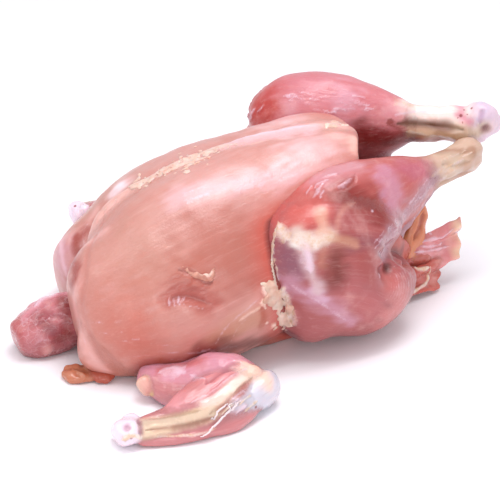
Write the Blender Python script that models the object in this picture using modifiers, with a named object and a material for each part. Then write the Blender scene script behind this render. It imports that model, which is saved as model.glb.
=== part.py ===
"""Whole raw chicken, skinned and dressed, lying on its back with its shanks crossed.

The bird is one piece of meat and bone, so it is one solid: a torso with an open body
cavity, two legs, two wings cut off at the wrist, a neck stub and the loose flaps that
dressing leaves. Every muscle is a sphere primitive drawn out along a curved spine, and
the muscles are fused by Boolean unions.

Units are metres. +X runs from the neck to the tail, -Y is the near (right) side of the
bird and +Z is up. The origin is on the floor, under the middle of the bird.
"""

import math

import bmesh
import bpy
from mathutils import Vector

# Every pair below is (near side, far side).
SIDES = ("near", "far")
HANDS = (-1, 1)

# Driving dimensions of the bird.
BREAST_LENGTH = 0.186
BREAST_FRONT_X = -0.099
BREAST_SET_BACK = (0.0, 0.008)
BREAST_SAG = (0.001, 0.016)
STERNUM_END_X = 0.067
STERNUM_END_SLANT = 0.35
BELLY_OPENING_HALF_WIDTH = 0.060
BELLY_OPENING_FLOOR_Z = 0.062
BELLY_OPENING_TOP_Z = 0.142
BEHIND_THE_BIRD_X = 0.160
CAVITY_HALF_WIDTH = 0.027
CAVITY_MIDDLE_Y = -0.0008
KEEL_MIDDLE_Y = 0.0006
FLOOR_TRIM = 0.0015
WALL_OF_FLAP = 0.0028

# Landmarks of the skeleton.
NECK_ROOT = Vector((-0.080, -0.004, 0.020))
NECK_END = Vector((-0.113, -0.006, 0.0125))
TAIL_ROOT = Vector((0.098, -0.004, 0.020))
THIGH_FRONT = (Vector((-0.006, -0.046, 0.049)), Vector((0.013, 0.049, 0.058)))
THIGH_BACK = (Vector((0.085, -0.038, 0.020)), Vector((0.087, 0.038, 0.025)))
THIGH_FULLNESS = (1.0, 0.85)
THIGH_BEND = (0.010, 0.004)
KNEE = (Vector((0.014, -0.049, 0.064)), Vector((0.039, 0.050, 0.086)))
ANKLE = (Vector((0.104, -0.019, 0.076)), Vector((0.112, 0.017, 0.088)))
HOCK = (Vector((0.131, -0.006, 0.0745)), Vector((0.142, 0.008, 0.086)))
SHOULDER = (Vector((-0.076, -0.056, 0.017)), Vector((-0.062, 0.050, 0.026)))
ELBOW = (Vector((-0.025, -0.095, 0.012)), Vector((-0.014, 0.080, 0.025)))
WRIST = (Vector((-0.094, -0.107, 0.0070)), Vector((-0.064, 0.084, 0.030)))


def clear_scene():
    for old in list(bpy.data.objects):
        bpy.data.objects.remove(old, do_unlink=True)


def collection(name):
    made = bpy.data.collections.new(name)
    bpy.context.scene.collection.children.link(made)
    return made


def spline(stations, share):
    """Point on a Catmull-Rom curve through equally spaced stations of any width."""
    last = len(stations) - 1
    place = min(max(share, 0.0), 1.0) * last
    start = min(int(place), last - 1)
    t = place - start
    before, a, b, after = (
        stations[min(max(start + step, 0), last)] for step in (-1, 0, 1, 2)
    )
    return [
        0.5
        * (2 * q + (r - p) * t + (2 * p - 5 * q + 4 * r - s) * t**2 + (3 * q - p - 3 * r + s) * t**3)
        for p, q, r, s in zip(before, a, b, after)
    ]


def muscle(name, into, stations, blunt=2.6, square=2.0, sides=18, rings=14):
    """A sphere drawn out along a spine.

    A station is (centre, half width, half depth, roll in degrees). Depth is measured
    towards the sky and width across it, before the roll about the spine. blunt above 2
    fills out the two ends, and square above 2 fills out the cross-section's corners.
    """
    rows = [(*centre, width, depth, roll) for centre, width, depth, roll in stations]
    shape = bmesh.new()
    bmesh.ops.create_uvsphere(shape, u_segments=sides, v_segments=rings, radius=1.0)
    for vertex in shape.verts:
        along = min(max(vertex.co.z, -1.0), 1.0)
        around = math.atan2(vertex.co.y, vertex.co.x)
        share = (along + 1) / 2
        x, y, z, width, depth, roll = spline(rows, share)
        ahead = Vector(spline(rows, share + 0.02)[:3])
        behind = Vector(spline(rows, share - 0.02)[:3])
        tangent = (ahead - behind).normalized()
        across = Vector((0, 0, 1)).cross(tangent).normalized()
        upward = tangent.cross(across)
        turn = math.radians(roll)
        wide = across * math.cos(turn) + upward * math.sin(turn)
        deep = upward * math.cos(turn) - across * math.sin(turn)
        girth = max(1 - abs(along) ** blunt, 0.0) ** (1 / blunt)
        if girth < 1e-4:
            girth = 0.0
        c, s = math.cos(around), math.sin(around)
        out = (abs(c) ** square + abs(s) ** square) ** (-1 / square)
        vertex.co = Vector((x, y, z)) + (wide * c * width + deep * s * depth) * girth * out
    return to_object(name, into, shape)


def to_object(name, into, shape):
    mesh = bpy.data.meshes.new(name)
    shape.to_mesh(mesh)
    shape.free()
    made = bpy.data.objects.new(name, mesh)
    into.objects.link(made)
    return made


def between(a, b, share, lift=0.0, side=0.0):
    """A point on the way from a to b, raised by lift and moved along Y by side."""
    return a.lerp(b, share) + Vector((0, side, lift))


def flap(name, into, corner, along, across, wave, thickness=WALL_OF_FLAP, cells=(8, 5)):
    """A thin wavy tongue of membrane: a grid bent along one edge, then thickened."""
    shape = bmesh.new()
    bmesh.ops.create_grid(shape, x_segments=cells[0], y_segments=cells[1], size=0.5)
    normal = along.cross(across).normalized()
    for vertex in shape.verts:
        u, v = vertex.co.x + 0.5, vertex.co.y + 0.5
        narrowing = 1 - 0.45 * u**2
        ripple = wave * (math.sin(5.5 * u + 2.2 * v) + 0.6 * math.sin(3.1 * v - 4.0 * u))
        vertex.co = corner + along * u + across * (v - 0.5) * narrowing + normal * ripple
    made = to_object(name, into, shape)
    skin = made.modifiers.new("membrane", "SOLIDIFY")
    skin.thickness = thickness
    skin.offset = 0.0
    return made


def breast_half(side, into):
    """The large breast muscle of one side; its roll leans the top in to the keel."""
    hand = HANDS[side]
    front_x = BREAST_FRONT_X + BREAST_SET_BACK[side]
    sections = (
        (0.030, 0.033, 0.031, 0.040, 34),
        (0.030, 0.037, 0.036, 0.048, 36),
        (0.028, 0.049, 0.037, 0.050, 36),
        (0.022, 0.060, 0.032, 0.047, 34),
        (0.017, 0.074, 0.026, 0.034, 35),
        (0.014, 0.078, 0.020, 0.024, 35),
    )
    step = (BREAST_FRONT_X + BREAST_LENGTH - front_x) / (len(sections) - 1)
    stations = []
    for n, (y, z, width, depth, roll) in enumerate(sections):
        sag = BREAST_SAG[side] * max(1 - n / 4, 0)
        centre = Vector((front_x + step * n, hand * y, z - sag))
        stations.append((centre, width, depth, hand * roll))
    muscle(f"breast_{SIDES[side]}", into, stations, blunt=3.0, square=2.2, sides=26, rings=22)


def torso(into):
    """Rib cage and back, the two breast muscles and the keel between them."""
    trunk = [
        (Vector((-0.084, 0, 0.030)), 0.038, 0.028, 0),
        (Vector((-0.035, 0, 0.033)), 0.048, 0.035, 0),
        (Vector((0.020, 0, 0.036)), 0.050, 0.038, 0),
        (Vector((0.070, 0, 0.030)), 0.044, 0.032, 0),
        (Vector((0.112, 0, 0.024)), 0.028, 0.022, 0),
    ]
    muscle("back", into, trunk, blunt=4.0, square=3.2, sides=24, rings=18)
    for side, hand in enumerate(HANDS):
        breast_half(side, into)
        shoulder_x = -0.104 + 2 * BREAST_SET_BACK[side]
        shoulder_z = 0.015 + BREAST_SET_BACK[side] / 2
        girdle = [
            (Vector((shoulder_x + 0.004, hand * 0.040, shoulder_z + 0.005)), 0.012, 0.019, 0),
            (Vector((shoulder_x + 0.028, hand * 0.044, 0.021)), 0.0145, 0.021, 0),
            (Vector((-0.048, hand * 0.045, 0.023)), 0.015, 0.021, 0),
            (Vector((-0.010, hand * 0.043, 0.030)), 0.012, 0.018, 0),
        ]
        muscle(f"shoulder_{SIDES[side]}", into, girdle, blunt=2.8)
        flank = [
            (Vector((-0.060, hand * 0.034, 0.016)), 0.009, 0.010, 0),
            (Vector((-0.030, hand * 0.036, 0.014)), 0.012, 0.013, 0),
            (Vector((0.005, hand * 0.037, 0.014)), 0.012, 0.014, 0),
            (Vector((0.040, hand * 0.034, 0.014)), 0.010, 0.012, 0),
        ]
        muscle(f"flank_{SIDES[side]}", into, flank, sides=14, rings=10)
    keel = [
        (Vector((-0.088, KEEL_MIDDLE_Y, 0.052)), 0.007, 0.009, 0),
        (Vector((-0.066, KEEL_MIDDLE_Y, 0.069)), 0.007, 0.009, 0),
        (Vector((-0.030, KEEL_MIDDLE_Y, 0.083)), 0.007, 0.010, 0),
        (Vector((0.010, KEEL_MIDDLE_Y, 0.092)), 0.007, 0.010, 0),
        (Vector((0.048, KEEL_MIDDLE_Y, 0.095)), 0.007, 0.009, 0),
        (Vector((0.080, KEEL_MIDDLE_Y, 0.086)), 0.007, 0.008, 0),
    ]
    muscle("keel", into, keel, blunt=3.0, sides=14, rings=20)


def cavity_cutters(into):
    """The gutted body cavity and the opening in the belly behind the breastbone."""
    hollow = [
        (Vector((-0.030, CAVITY_MIDDLE_Y, 0.052)), CAVITY_HALF_WIDTH * 0.8, 0.018, 0),
        (Vector((0.030, CAVITY_MIDDLE_Y, 0.056)), CAVITY_HALF_WIDTH, 0.025, 0),
        (Vector((0.085, CAVITY_MIDDLE_Y, 0.052)), CAVITY_HALF_WIDTH, 0.026, 0),
        (Vector((0.150, CAVITY_MIDDLE_Y, 0.060)), CAVITY_HALF_WIDTH, 0.026, 0),
    ]
    muscle("body_cavity", into, hollow, blunt=3.0, sides=18, rings=14)
    plan = [
        (BEHIND_THE_BIRD_X, -BELLY_OPENING_HALF_WIDTH),
        (BEHIND_THE_BIRD_X, BELLY_OPENING_HALF_WIDTH),
        (STERNUM_END_X - STERNUM_END_SLANT * BELLY_OPENING_HALF_WIDTH, BELLY_OPENING_HALF_WIDTH),
        (STERNUM_END_X, 0.0),
        (STERNUM_END_X - STERNUM_END_SLANT * BELLY_OPENING_HALF_WIDTH, -BELLY_OPENING_HALF_WIDTH),
    ]
    opening = bmesh.new()
    floor = opening.faces.new([opening.verts.new((x, y, BELLY_OPENING_FLOOR_Z)) for x, y in plan])
    raised = bmesh.ops.extrude_face_region(opening, geom=[floor])["geom"]
    for corner in raised:
        if isinstance(corner, bmesh.types.BMVert):
            corner.co.z = BELLY_OPENING_TOP_Z
    bmesh.ops.recalc_face_normals(opening, faces=opening.faces)
    to_object("belly_opening", into, opening)


def leg(side, into):
    """Thigh, knee and drumstick, the bared shank and the knuckle that it ends in.

    The web of skin and tendon behind the drumstick reaches further back on the near leg,
    and only the far leg, which lies on top, shows its knuckle.
    """
    front, back = THIGH_FRONT[side], THIGH_BACK[side]
    knee, ankle, hock = KNEE[side], ANKLE[side], HOCK[side]
    hand = HANDS[side]
    name = SIDES[side]
    full = THIGH_FULLNESS[side]
    bend = THIGH_BEND[side]
    thigh = [
        (front, 0.020, 0.033 * full, 0),
        (between(front, back, 0.25, 0.7 * bend, hand * 0.004), 0.027, 0.041 * full, 0),
        (between(front, back, 0.50, bend, hand * 0.005), 0.028, 0.042 * full, 0),
        (between(front, back, 0.75, 0.3 * bend, hand * 0.004), 0.025, 0.030 * full, 0),
        (back, 0.019, 0.018, 0),
    ]
    muscle(f"thigh_{name}", into, thigh, blunt=3.4, square=2.3, sides=26, rings=22)
    calf = [
        (between(knee, ankle, -0.16, -0.004, 0), 0.018, 0.020, 0),
        (between(knee, ankle, 0.16, 0.001, 0), 0.022, 0.027, 0),
        (between(knee, ankle, 0.42, -0.001, 0), 0.021, 0.028, 0),
        (between(knee, ankle, 0.72, -0.001, 0), 0.015, 0.021, 0),
        (between(knee, ankle, 1.02, 0.000, 0), 0.0080, 0.011, 0),
    ]
    muscle(f"drumstick_{name}", into, calf, blunt=3.2, sides=22, rings=18)
    heel_web = [
        (between(knee, ankle, 1.00, -0.008, -hand * 0.002), 0.006, 0.009, 0),
        (between(knee, ankle, 0.78, -0.020, -hand * 0.003), 0.009, 0.015, 0),
        (between(knee, ankle, 0.52, -0.028, 0), 0.013, 0.019, 0),
    ]
    muscle(f"heel_web_{name}", into, heel_web[side:], blunt=2.6, sides=14, rings=10)
    shank = [
        (between(ankle, hock, -0.55), 0.0070, 0.0095, 0),
        (between(ankle, hock, 0.10, -0.001 * side), 0.0075, 0.0098 + 0.0015 * side, 0),
        (hock, 0.0085, 0.0105, 0),
        (between(ankle, hock, 1.20), 0.0080, 0.0100, 0),
    ]
    muscle(f"shank_{name}", into, shank, blunt=5.0, sides=16, rings=12)
    if name == "far":
        knuckle = [
            (hock + Vector((-0.001, 0, -0.010)), 0.0095, 0.0085, 0),
            (hock + Vector((0.003, 0, 0.003)), 0.0105, 0.0125, 0),
            (hock + Vector((0.008, 0, 0.010)), 0.0095, 0.0095, 0),
        ]
        muscle("knuckle_far", into, knuckle, blunt=2.6, sides=14, rings=10)


def wing(side, into):
    """Upper arm and its bared joint peg, the forearm and the cut wrist."""
    shoulder, elbow, wrist = SHOULDER[side], ELBOW[side], WRIST[side]
    hand = HANDS[side]
    name = SIDES[side]
    upper_arm = [
        (between(shoulder, elbow, 0.00, -0.0104, hand * 0.0045), 0.0134, 0.0094, 0),
        (between(shoulder, elbow, 0.40, -0.007, hand * 0.004), 0.017, 0.011, 0),
        (between(shoulder, elbow, 0.75, 0.000, 0), 0.0145, 0.013, 0),
        (between(shoulder, elbow, 1.08, 0.002, 0), 0.011, 0.010, 0),
    ]
    muscle(f"upper_arm_{name}", into, upper_arm, blunt=2.8, sides=18, rings=14)
    forearm = [
        (between(elbow, wrist, -0.10), 0.012, 0.010, 0),
        (between(elbow, wrist, 0.20, 0, hand * 0.002), 0.016, 0.012, 0),
        (between(elbow, wrist, 0.50, 0, hand * 0.0045), 0.014, 0.011, 0),
        (between(elbow, wrist, 0.80, 0, hand * 0.003), 0.0090, 0.0080, 0),
        (between(elbow, wrist, 1.04), 0.0075, 0.0070, 0),
    ]
    muscle(f"forearm_{name}", into, forearm, blunt=3.6, sides=18, rings=16)
    knob = [
        (between(elbow, wrist, 0.93), 0.0085, 0.0075, 0),
        (between(elbow, wrist, 1.10), 0.0085, 0.0065, 0),
    ]
    muscle(f"wrist_{name}", into, knob, blunt=2.6, sides=14, rings=10)
    peg_root = shoulder + Vector((-0.005, hand * 0.008, -0.008))
    peg = [
        (peg_root, 0.0055, 0.0060, 0),
        (peg_root + Vector((0.004, hand * 0.010, -0.003)), 0.0040, 0.0040, 0),
    ]
    muscle(f"shoulder_peg_{name}", into, peg, blunt=3.0, sides=10, rings=8)


def neck(into):
    """The neck stub that is left in front of the shoulders."""
    stub = [
        (between(NECK_END, NECK_ROOT, -0.35), 0.0125, 0.0130, 0),
        (between(NECK_END, NECK_ROOT, 0.15), 0.0145, 0.0150, 0),
        (between(NECK_END, NECK_ROOT, 0.70), 0.0145, 0.0145, 0),
        (between(NECK_END, NECK_ROOT, 1.25), 0.0150, 0.0150, 0),
    ]
    muscle("neck_stub", into, stub, blunt=3.4, sides=18, rings=14)
    crop_fat = [
        (NECK_END + Vector((0.007, -0.030, -0.0085)), 0.006, 0.0035, 0),
        (NECK_END + Vector((0.018, -0.040, -0.0095)), 0.007, 0.0035, 0),
        (NECK_END + Vector((0.034, -0.048, -0.0085)), 0.007, 0.0050, 0),
    ]
    muscle("crop_fat", into, crop_fat, blunt=2.6, sides=12, rings=8)


def tail(into):
    """The pelvis end and the loose flaps round the vent."""
    stump = [
        (TAIL_ROOT + Vector((-0.020, 0, 0)), 0.022, 0.016, 0),
        (TAIL_ROOT, 0.022, 0.017, 0),
        (TAIL_ROOT + Vector((0.018, 0, -0.002)), 0.014, 0.012, 0),
    ]
    muscle("tail_stump", into, stump, blunt=2.8, sides=16, rings=12)
    fat_strip = [
        (TAIL_ROOT + Vector((-0.012, -0.006, 0.004)), 0.007, 0.008, 0),
        (TAIL_ROOT + Vector((-0.001, -0.006, 0.018)), 0.005, 0.005, 0),
        (TAIL_ROOT + Vector((0.006, -0.005, 0.034)), 0.004, 0.004, 0),
    ]
    muscle("fat_strip", into, fat_strip, blunt=3.0, sides=12, rings=8)
    flap(
        "vent_flap",
        into,
        corner=TAIL_ROOT + Vector((0.004, -0.002, -0.007)),
        along=Vector((0.025, 0.003, 0.023)),
        across=Vector((0.007, -0.031, -0.002)),
        wave=0.0022,
    )


def join(base, forms):
    """Fuses every object of a collection to base with one Boolean union, applied."""
    union = base.modifiers.new("union", "BOOLEAN")
    union.operation = "UNION"
    union.operand_type = "COLLECTION"
    union.collection = forms
    union.solver = "EXACT"
    apply(base)
    for used in list(forms.objects):
        bpy.data.objects.remove(used, do_unlink=True)


def carve(base, cutters):
    """Cuts every object of a collection out of base, applied."""
    for cutter in list(cutters.objects):
        cut = base.modifiers.new("cut", "BOOLEAN")
        cut.operation = "DIFFERENCE"
        cut.object = cutter
        cut.solver = "EXACT"
        apply(base)
        bpy.data.objects.remove(cutter, do_unlink=True)


def apply(made):
    """Puts an object's modifiers into its mesh."""
    bpy.context.view_layer.update()
    evaluated = made.evaluated_get(bpy.context.evaluated_depsgraph_get())
    mesh = bpy.data.meshes.new_from_object(evaluated)
    made.modifiers.clear()
    made.data = mesh


def keep_largest_shell(made):
    """Fills the pockets sealed between fused muscles and drops loose scraps."""
    shape = bmesh.new()
    shape.from_mesh(made.data)
    waiting = set(shape.faces)
    shells = []
    while waiting:
        shell = {waiting.pop()}
        edge_of_shell = list(shell)
        while edge_of_shell:
            face = edge_of_shell.pop()
            touching = {other for edge in face.edges for other in edge.link_faces} & waiting
            waiting -= touching
            shell |= touching
            edge_of_shell.extend(touching)
        shells.append(shell)
    largest = max(shells, key=len)
    scraps = [face for face in shape.faces if face not in largest]
    bmesh.ops.delete(shape, geom=scraps, context="FACES")
    shape.to_mesh(made.data)
    shape.free()


def floor_cutter(into):
    """Trims what would sink below the floor, which leaves small flats to rest on."""
    slab = bmesh.new()
    bmesh.ops.create_cube(slab, size=1.0)
    for vertex in slab.verts:
        vertex.co = Vector((vertex.co.x, vertex.co.y, (vertex.co.z - 0.5) * 0.2 + FLOOR_TRIM))
    to_object("floor_slab", into, slab)


def stand_on_origin(made):
    """Moves the mesh so that the middle of its footprint is at the origin."""
    points = [vertex.co for vertex in made.data.vertices]
    low = Vector([min(point[k] for point in points) for k in range(3)])
    high = Vector([max(point[k] for point in points) for k in range(3)])
    shift = Vector((-(low.x + high.x) / 2, -(low.y + high.y) / 2, -low.z))
    for vertex in made.data.vertices:
        vertex.co += shift
    return shift


def flesh():
    made = bpy.data.materials.new("raw_meat")
    made.use_nodes = True
    surface = made.node_tree.nodes["Principled BSDF"]
    surface.inputs["Base Color"].default_value = (0.72, 0.36, 0.31, 1)
    surface.inputs["Roughness"].default_value = 0.35
    surface.inputs["Metallic"].default_value = 0.0
    return made


def build():
    clear_scene()
    parts = collection("whole_raw_chicken")
    torso_forms = collection("torso_forms")
    limb_forms = collection("limb_forms")
    cutters = collection("cutters")
    torso(torso_forms)
    bird = torso_forms.objects["back"]
    torso_forms.objects.unlink(bird)
    parts.objects.link(bird)
    bird.name = "chicken"
    join(bird, torso_forms)
    cavity_cutters(cutters)
    carve(bird, cutters)
    for side in (0, 1):
        leg(side, limb_forms)
        wing(side, limb_forms)
    neck(limb_forms)
    tail(limb_forms)
    join(bird, limb_forms)
    floor_cutter(cutters)
    carve(bird, cutters)
    keep_largest_shell(bird)
    shift = stand_on_origin(bird)
    bird.data.materials.clear()
    bird.data.materials.append(flesh())
    return bird, shift


bird, shift = build()
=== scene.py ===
"""The looks of the whole raw chicken: skinned, lying on its back, photographed on white."""
import math

import bmesh
import bpy
import numpy as np
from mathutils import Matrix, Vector
from mathutils.bvhtree import BVHTree
from mathutils.kdtree import KDTree


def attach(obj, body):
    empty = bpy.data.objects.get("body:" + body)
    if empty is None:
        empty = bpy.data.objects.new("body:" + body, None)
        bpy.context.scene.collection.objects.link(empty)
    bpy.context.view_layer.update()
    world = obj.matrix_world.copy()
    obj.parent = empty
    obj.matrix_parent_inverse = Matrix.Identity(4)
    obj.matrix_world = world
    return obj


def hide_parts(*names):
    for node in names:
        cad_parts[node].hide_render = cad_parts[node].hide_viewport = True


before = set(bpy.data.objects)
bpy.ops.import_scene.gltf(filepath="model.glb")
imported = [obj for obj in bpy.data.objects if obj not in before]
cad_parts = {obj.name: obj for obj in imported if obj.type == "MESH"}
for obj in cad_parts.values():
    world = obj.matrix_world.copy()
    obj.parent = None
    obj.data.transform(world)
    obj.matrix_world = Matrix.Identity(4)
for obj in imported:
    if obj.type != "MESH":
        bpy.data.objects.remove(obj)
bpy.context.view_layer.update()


# Table, light and camera.
# The bird lies on a plain white studio table under two soft lights from above and two
# weaker ones from the front and the neck end. The camera looks at its right side, a
# little from the neck end, 27 degrees up.
CAMERA_TURN = math.radians(-20)
CAMERA_RISE = math.radians(27)
CAMERA_DISTANCE = 1.0
CAMERA_LENS = 135
SENSOR = 36
PHOTO_SIZE = 500
LOOK_AT = np.array([-0.00838, 0.00941, 0.0345])
camera_back = np.array([
    math.sin(CAMERA_TURN) * math.cos(CAMERA_RISE),
    -math.cos(CAMERA_TURN) * math.cos(CAMERA_RISE),
    math.sin(CAMERA_RISE),
])
camera_right = np.array([math.cos(CAMERA_TURN), math.sin(CAMERA_TURN), 0.0])
camera_up = np.cross(camera_back, camera_right)
camera_place = LOOK_AT + camera_back * CAMERA_DISTANCE

camera_data = bpy.data.cameras.new("camera")
camera_data.lens = CAMERA_LENS
camera_data.sensor_width = SENSOR
camera = bpy.data.objects.new("camera", camera_data)
camera.location = camera_place
camera.rotation_euler = Vector(camera_back).to_track_quat("Z", "Y").to_euler()
bpy.context.scene.collection.objects.link(camera)
bpy.context.scene.camera = camera
bpy.context.scene.view_settings.view_transform = "Standard"

table_mesh = bpy.data.meshes.new("table_top")
table_mesh.from_pydata([(-3, -3, 0), (3, -3, 0), (3, 3, 0), (-3, 3, 0)], [], [(0, 1, 2, 3)])
table_top = bpy.data.objects.new("table_top", table_mesh)
bpy.context.scene.collection.objects.link(table_top)
white = bpy.data.materials.new("table_white")
white.use_nodes = True
white.node_tree.nodes["Principled BSDF"].inputs["Base Color"].default_value = (0.95, 0.94, 0.97, 1)
white.node_tree.nodes["Principled BSDF"].inputs["Roughness"].default_value = 0.7
white.node_tree.nodes["Principled BSDF"].inputs["Specular IOR Level"].default_value = 0.1
table_mesh.materials.append(white)

world = bpy.data.worlds.new("studio")
world.use_nodes = True
world.node_tree.nodes["Background"].inputs["Color"].default_value = (0.97, 0.96, 1.0, 1)
world.node_tree.nodes["Background"].inputs["Strength"].default_value = 0.74
bpy.context.scene.world = world


def soft_light(name, place, aim, size, power, colour=(1, 1, 1)):
    data = bpy.data.lights.new(name, "AREA")
    data.shape = "RECTANGLE"
    data.size, data.size_y = size
    data.energy = power
    data.color = colour
    light = bpy.data.objects.new(name, data)
    light.location = place
    light.rotation_euler = (Vector(place) - Vector(aim)).to_track_quat("Z", "Y").to_euler()
    bpy.context.scene.collection.objects.link(light)


soft_light("overhead_softbox", (0.06, -0.03, 0.90), (0, 0, 0.05), (0.66, 0.42), 3.3, (0.98, 0.97, 1.0))
soft_light("strip_softbox", (0.02, -0.10, 0.90), (0, 0, 0.05), (0.90, 0.07), 2.0, (0.98, 0.98, 1.0))
soft_light("front_softbox", (-0.25, -1.0, 0.40), (0, 0, 0.03), (0.6, 0.4), 2.4, (1.0, 0.99, 0.98))
soft_light("left_softbox", (-0.8, 0.1, 0.8), (0, 0, 0.05), (0.3, 0.3), 1.2, (1.0, 0.99, 0.98))


# Legs.
# Thigh and drumstick in one skinned mass of muscle, ending in the bared shank. The far
# leg lies on top and shows its knuckle, and white fascia runs over the near knee. The
# helpers for growing and painting flesh are first needed here.
BIRD_SHIFT = np.array([-0.01538, 0.00941, -0.0015])
MIDDLE_Y = BIRD_SHIFT[1]
SIDES = ("near", "far")
HANDS = (-1, 1)


def srgb(colour):
    """Linear colour of one read off a screen, 0 to 255."""
    return np.array([c / 12.92 if c <= 0.04045 else ((c + 0.055) / 1.055) ** 2.4
                     for c in np.array(colour) / 255])


def spline(rows, share):
    """Catmull-Rom curve through equally spaced rows, at many shares at once."""
    rows = np.asarray(rows, float)
    last = len(rows) - 1
    place = np.clip(share, 0, 1) * last
    start = np.minimum(place.astype(int), last - 1)
    t = (place - start)[:, None]
    p, q, r, s = (rows[np.clip(start + step, 0, last)] for step in (-1, 0, 1, 2))
    return 0.5 * (2 * q + (r - p) * t + (2 * p - 5 * q + 4 * r - s) * t**2
                  + (3 * q - p - 3 * r + s) * t**3)


def unit(rows):
    """Each row at length 1."""
    return rows / np.maximum(np.linalg.norm(rows, axis=-1, keepdims=True), 1e-12)


def muscle(stations, tint, blunt=2.6, square=2.0, sides=72, rings=56, wet=0.5):
    """A sphere drawn out along a spine of (centre, half width, half depth, roll if any).

    Returns its points, faces, straightened points (for grain along the muscle), tint
    and wetness."""
    rows = [(*(np.asarray(centre) + BIRD_SHIFT), width, depth, *(roll or (0,)))
            for centre, width, depth, *roll in stations]
    along = -np.cos(np.pi * np.arange(1, rings) / rings)
    around = 2 * np.pi * np.arange(sides) / sides
    along = np.concatenate([[-1.0], np.repeat(along, sides), [1.0]])
    around = np.concatenate([[0.0], np.tile(around, rings - 1), [0.0]])
    share = (along + 1) / 2
    line = spline(rows, share)
    tangent = unit(spline(rows, share + 0.02)[:, :3] - spline(rows, share - 0.02)[:, :3])
    across = unit(np.cross([0, 0, 1.0], tangent))
    upward = np.cross(tangent, across)
    turn = np.radians(line[:, 5:6])
    wide = across * np.cos(turn) + upward * np.sin(turn)
    deep = upward * np.cos(turn) - across * np.sin(turn)
    girth = np.maximum(1 - np.abs(along) ** blunt, 0) ** (1 / blunt)
    c, s = np.cos(around), np.sin(around)
    out = (np.abs(c) ** square + np.abs(s) ** square) ** (-1 / square) * girth
    points = line[:, :3] + wide * (c * line[:, 3] * out)[:, None] + deep * (s * line[:, 4] * out)[:, None]
    spine = spline(rows, np.linspace(0, 1, 30))[:, :3]
    length = np.linalg.norm(np.diff(spine, axis=0), axis=1).sum()
    straight = np.stack([c * line[:, 3] * out, s * line[:, 4] * out, share * length], 1)
    faces = [(0, 1 + (n + 1) % sides, 1 + n) for n in range(sides)]
    for ring in range(rings - 2):
        a = 1 + ring * sides
        b = a + sides
        faces += [(a + n, a + (n + 1) % sides, b + (n + 1) % sides, b + n) for n in range(sides)]
    top = len(points) - 1
    a = 1 + (rings - 2) * sides
    faces += [(a + n, a + (n + 1) % sides, top) for n in range(sides)]
    return {"points": points, "faces": faces, "straight": straight, "tint": srgb(tint), "wet": wet}


def new_object(name, points, faces):
    mesh = bpy.data.meshes.new(name)
    mesh.from_pydata([tuple(p) for p in points], [], faces)
    mesh.update()
    made = bpy.data.objects.new(name, mesh)
    bpy.context.scene.collection.objects.link(made)
    return made


def applied(made):
    """Puts the object's modifiers into its mesh and returns the mesh."""
    bpy.context.view_layer.update()
    evaluated = made.evaluated_get(bpy.context.evaluated_depsgraph_get())
    mesh = bpy.data.meshes.new_from_object(evaluated)
    made.modifiers.clear()
    old = made.data
    made.data = mesh
    bpy.data.meshes.remove(old)
    return mesh


def remesh(made, voxel):
    """Fuses all that overlaps in the object into one skin."""
    skin = made.modifiers.new("skin", "REMESH")
    skin.mode = "VOXEL"
    skin.voxel_size = voxel
    skin.use_smooth_shade = True
    return applied(made)


def neighbours(mesh):
    """The mesh's edges, as pairs of point numbers."""
    ends = np.empty(len(mesh.edges) * 2, np.int64)
    mesh.edges.foreach_get("vertices", ends)
    return ends.reshape(-1, 2)


def neighbour_mean(values, edges):
    """For each point, the mean of its neighbours' values."""
    a = np.concatenate([edges[:, 0], edges[:, 1]])
    b = np.concatenate([edges[:, 1], edges[:, 0]])
    count = np.maximum(np.bincount(a, minlength=len(values)), 1)[:, None]
    return np.stack([np.bincount(a, column[b], len(values)) for column in values.T], 1) / count


def spread(values, edges, rounds):
    """Draws values halfway to the mean of their neighbours, round after round."""
    columns = np.array(values, float).reshape(len(values), -1)
    for _ in range(rounds):
        columns = columns + 0.5 * (neighbour_mean(columns, edges) - columns)
    return columns.reshape(np.shape(values))


def store(mesh, name, kind, values):
    """Keeps a value per point in the mesh, where its material reads it by name."""
    key = {"FLOAT_COLOR": "color", "FLOAT_VECTOR": "vector", "FLOAT": "value"}[kind]
    mesh.attributes.new(name, kind, "POINT").data.foreach_set(key, values.ravel())


def finished(piece, material):
    """Gives a piece its material and smooth shading, and ties it to the part."""
    piece.data.materials.clear()
    piece.data.materials.append(material)
    for face in piece.data.polygons:
        face.use_smooth = True
    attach(piece, "root")
    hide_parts("chicken")


def wobble(points, size, seed, waves=14):
    """Smooth noise in about -1..1 with features of about that size in metres."""
    chance = np.random.default_rng(seed)
    way = unit(chance.normal(size=(waves, 3))) * chance.uniform(0.6, 1.5, (waves, 1))
    way = way * 2 * np.pi / size / 1.6
    phase = chance.uniform(0, 2 * np.pi, waves)
    return np.sin(points @ way.T + phase).sum(1) / math.sqrt(waves) * 0.75


PAINT_DEPTH = 1.22
PAINT_GAIN = 1.02
TABLE_GAP = 0.0003
GRAIN_SHIFT = 0.37
FILL_STEP = 0.6


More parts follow.
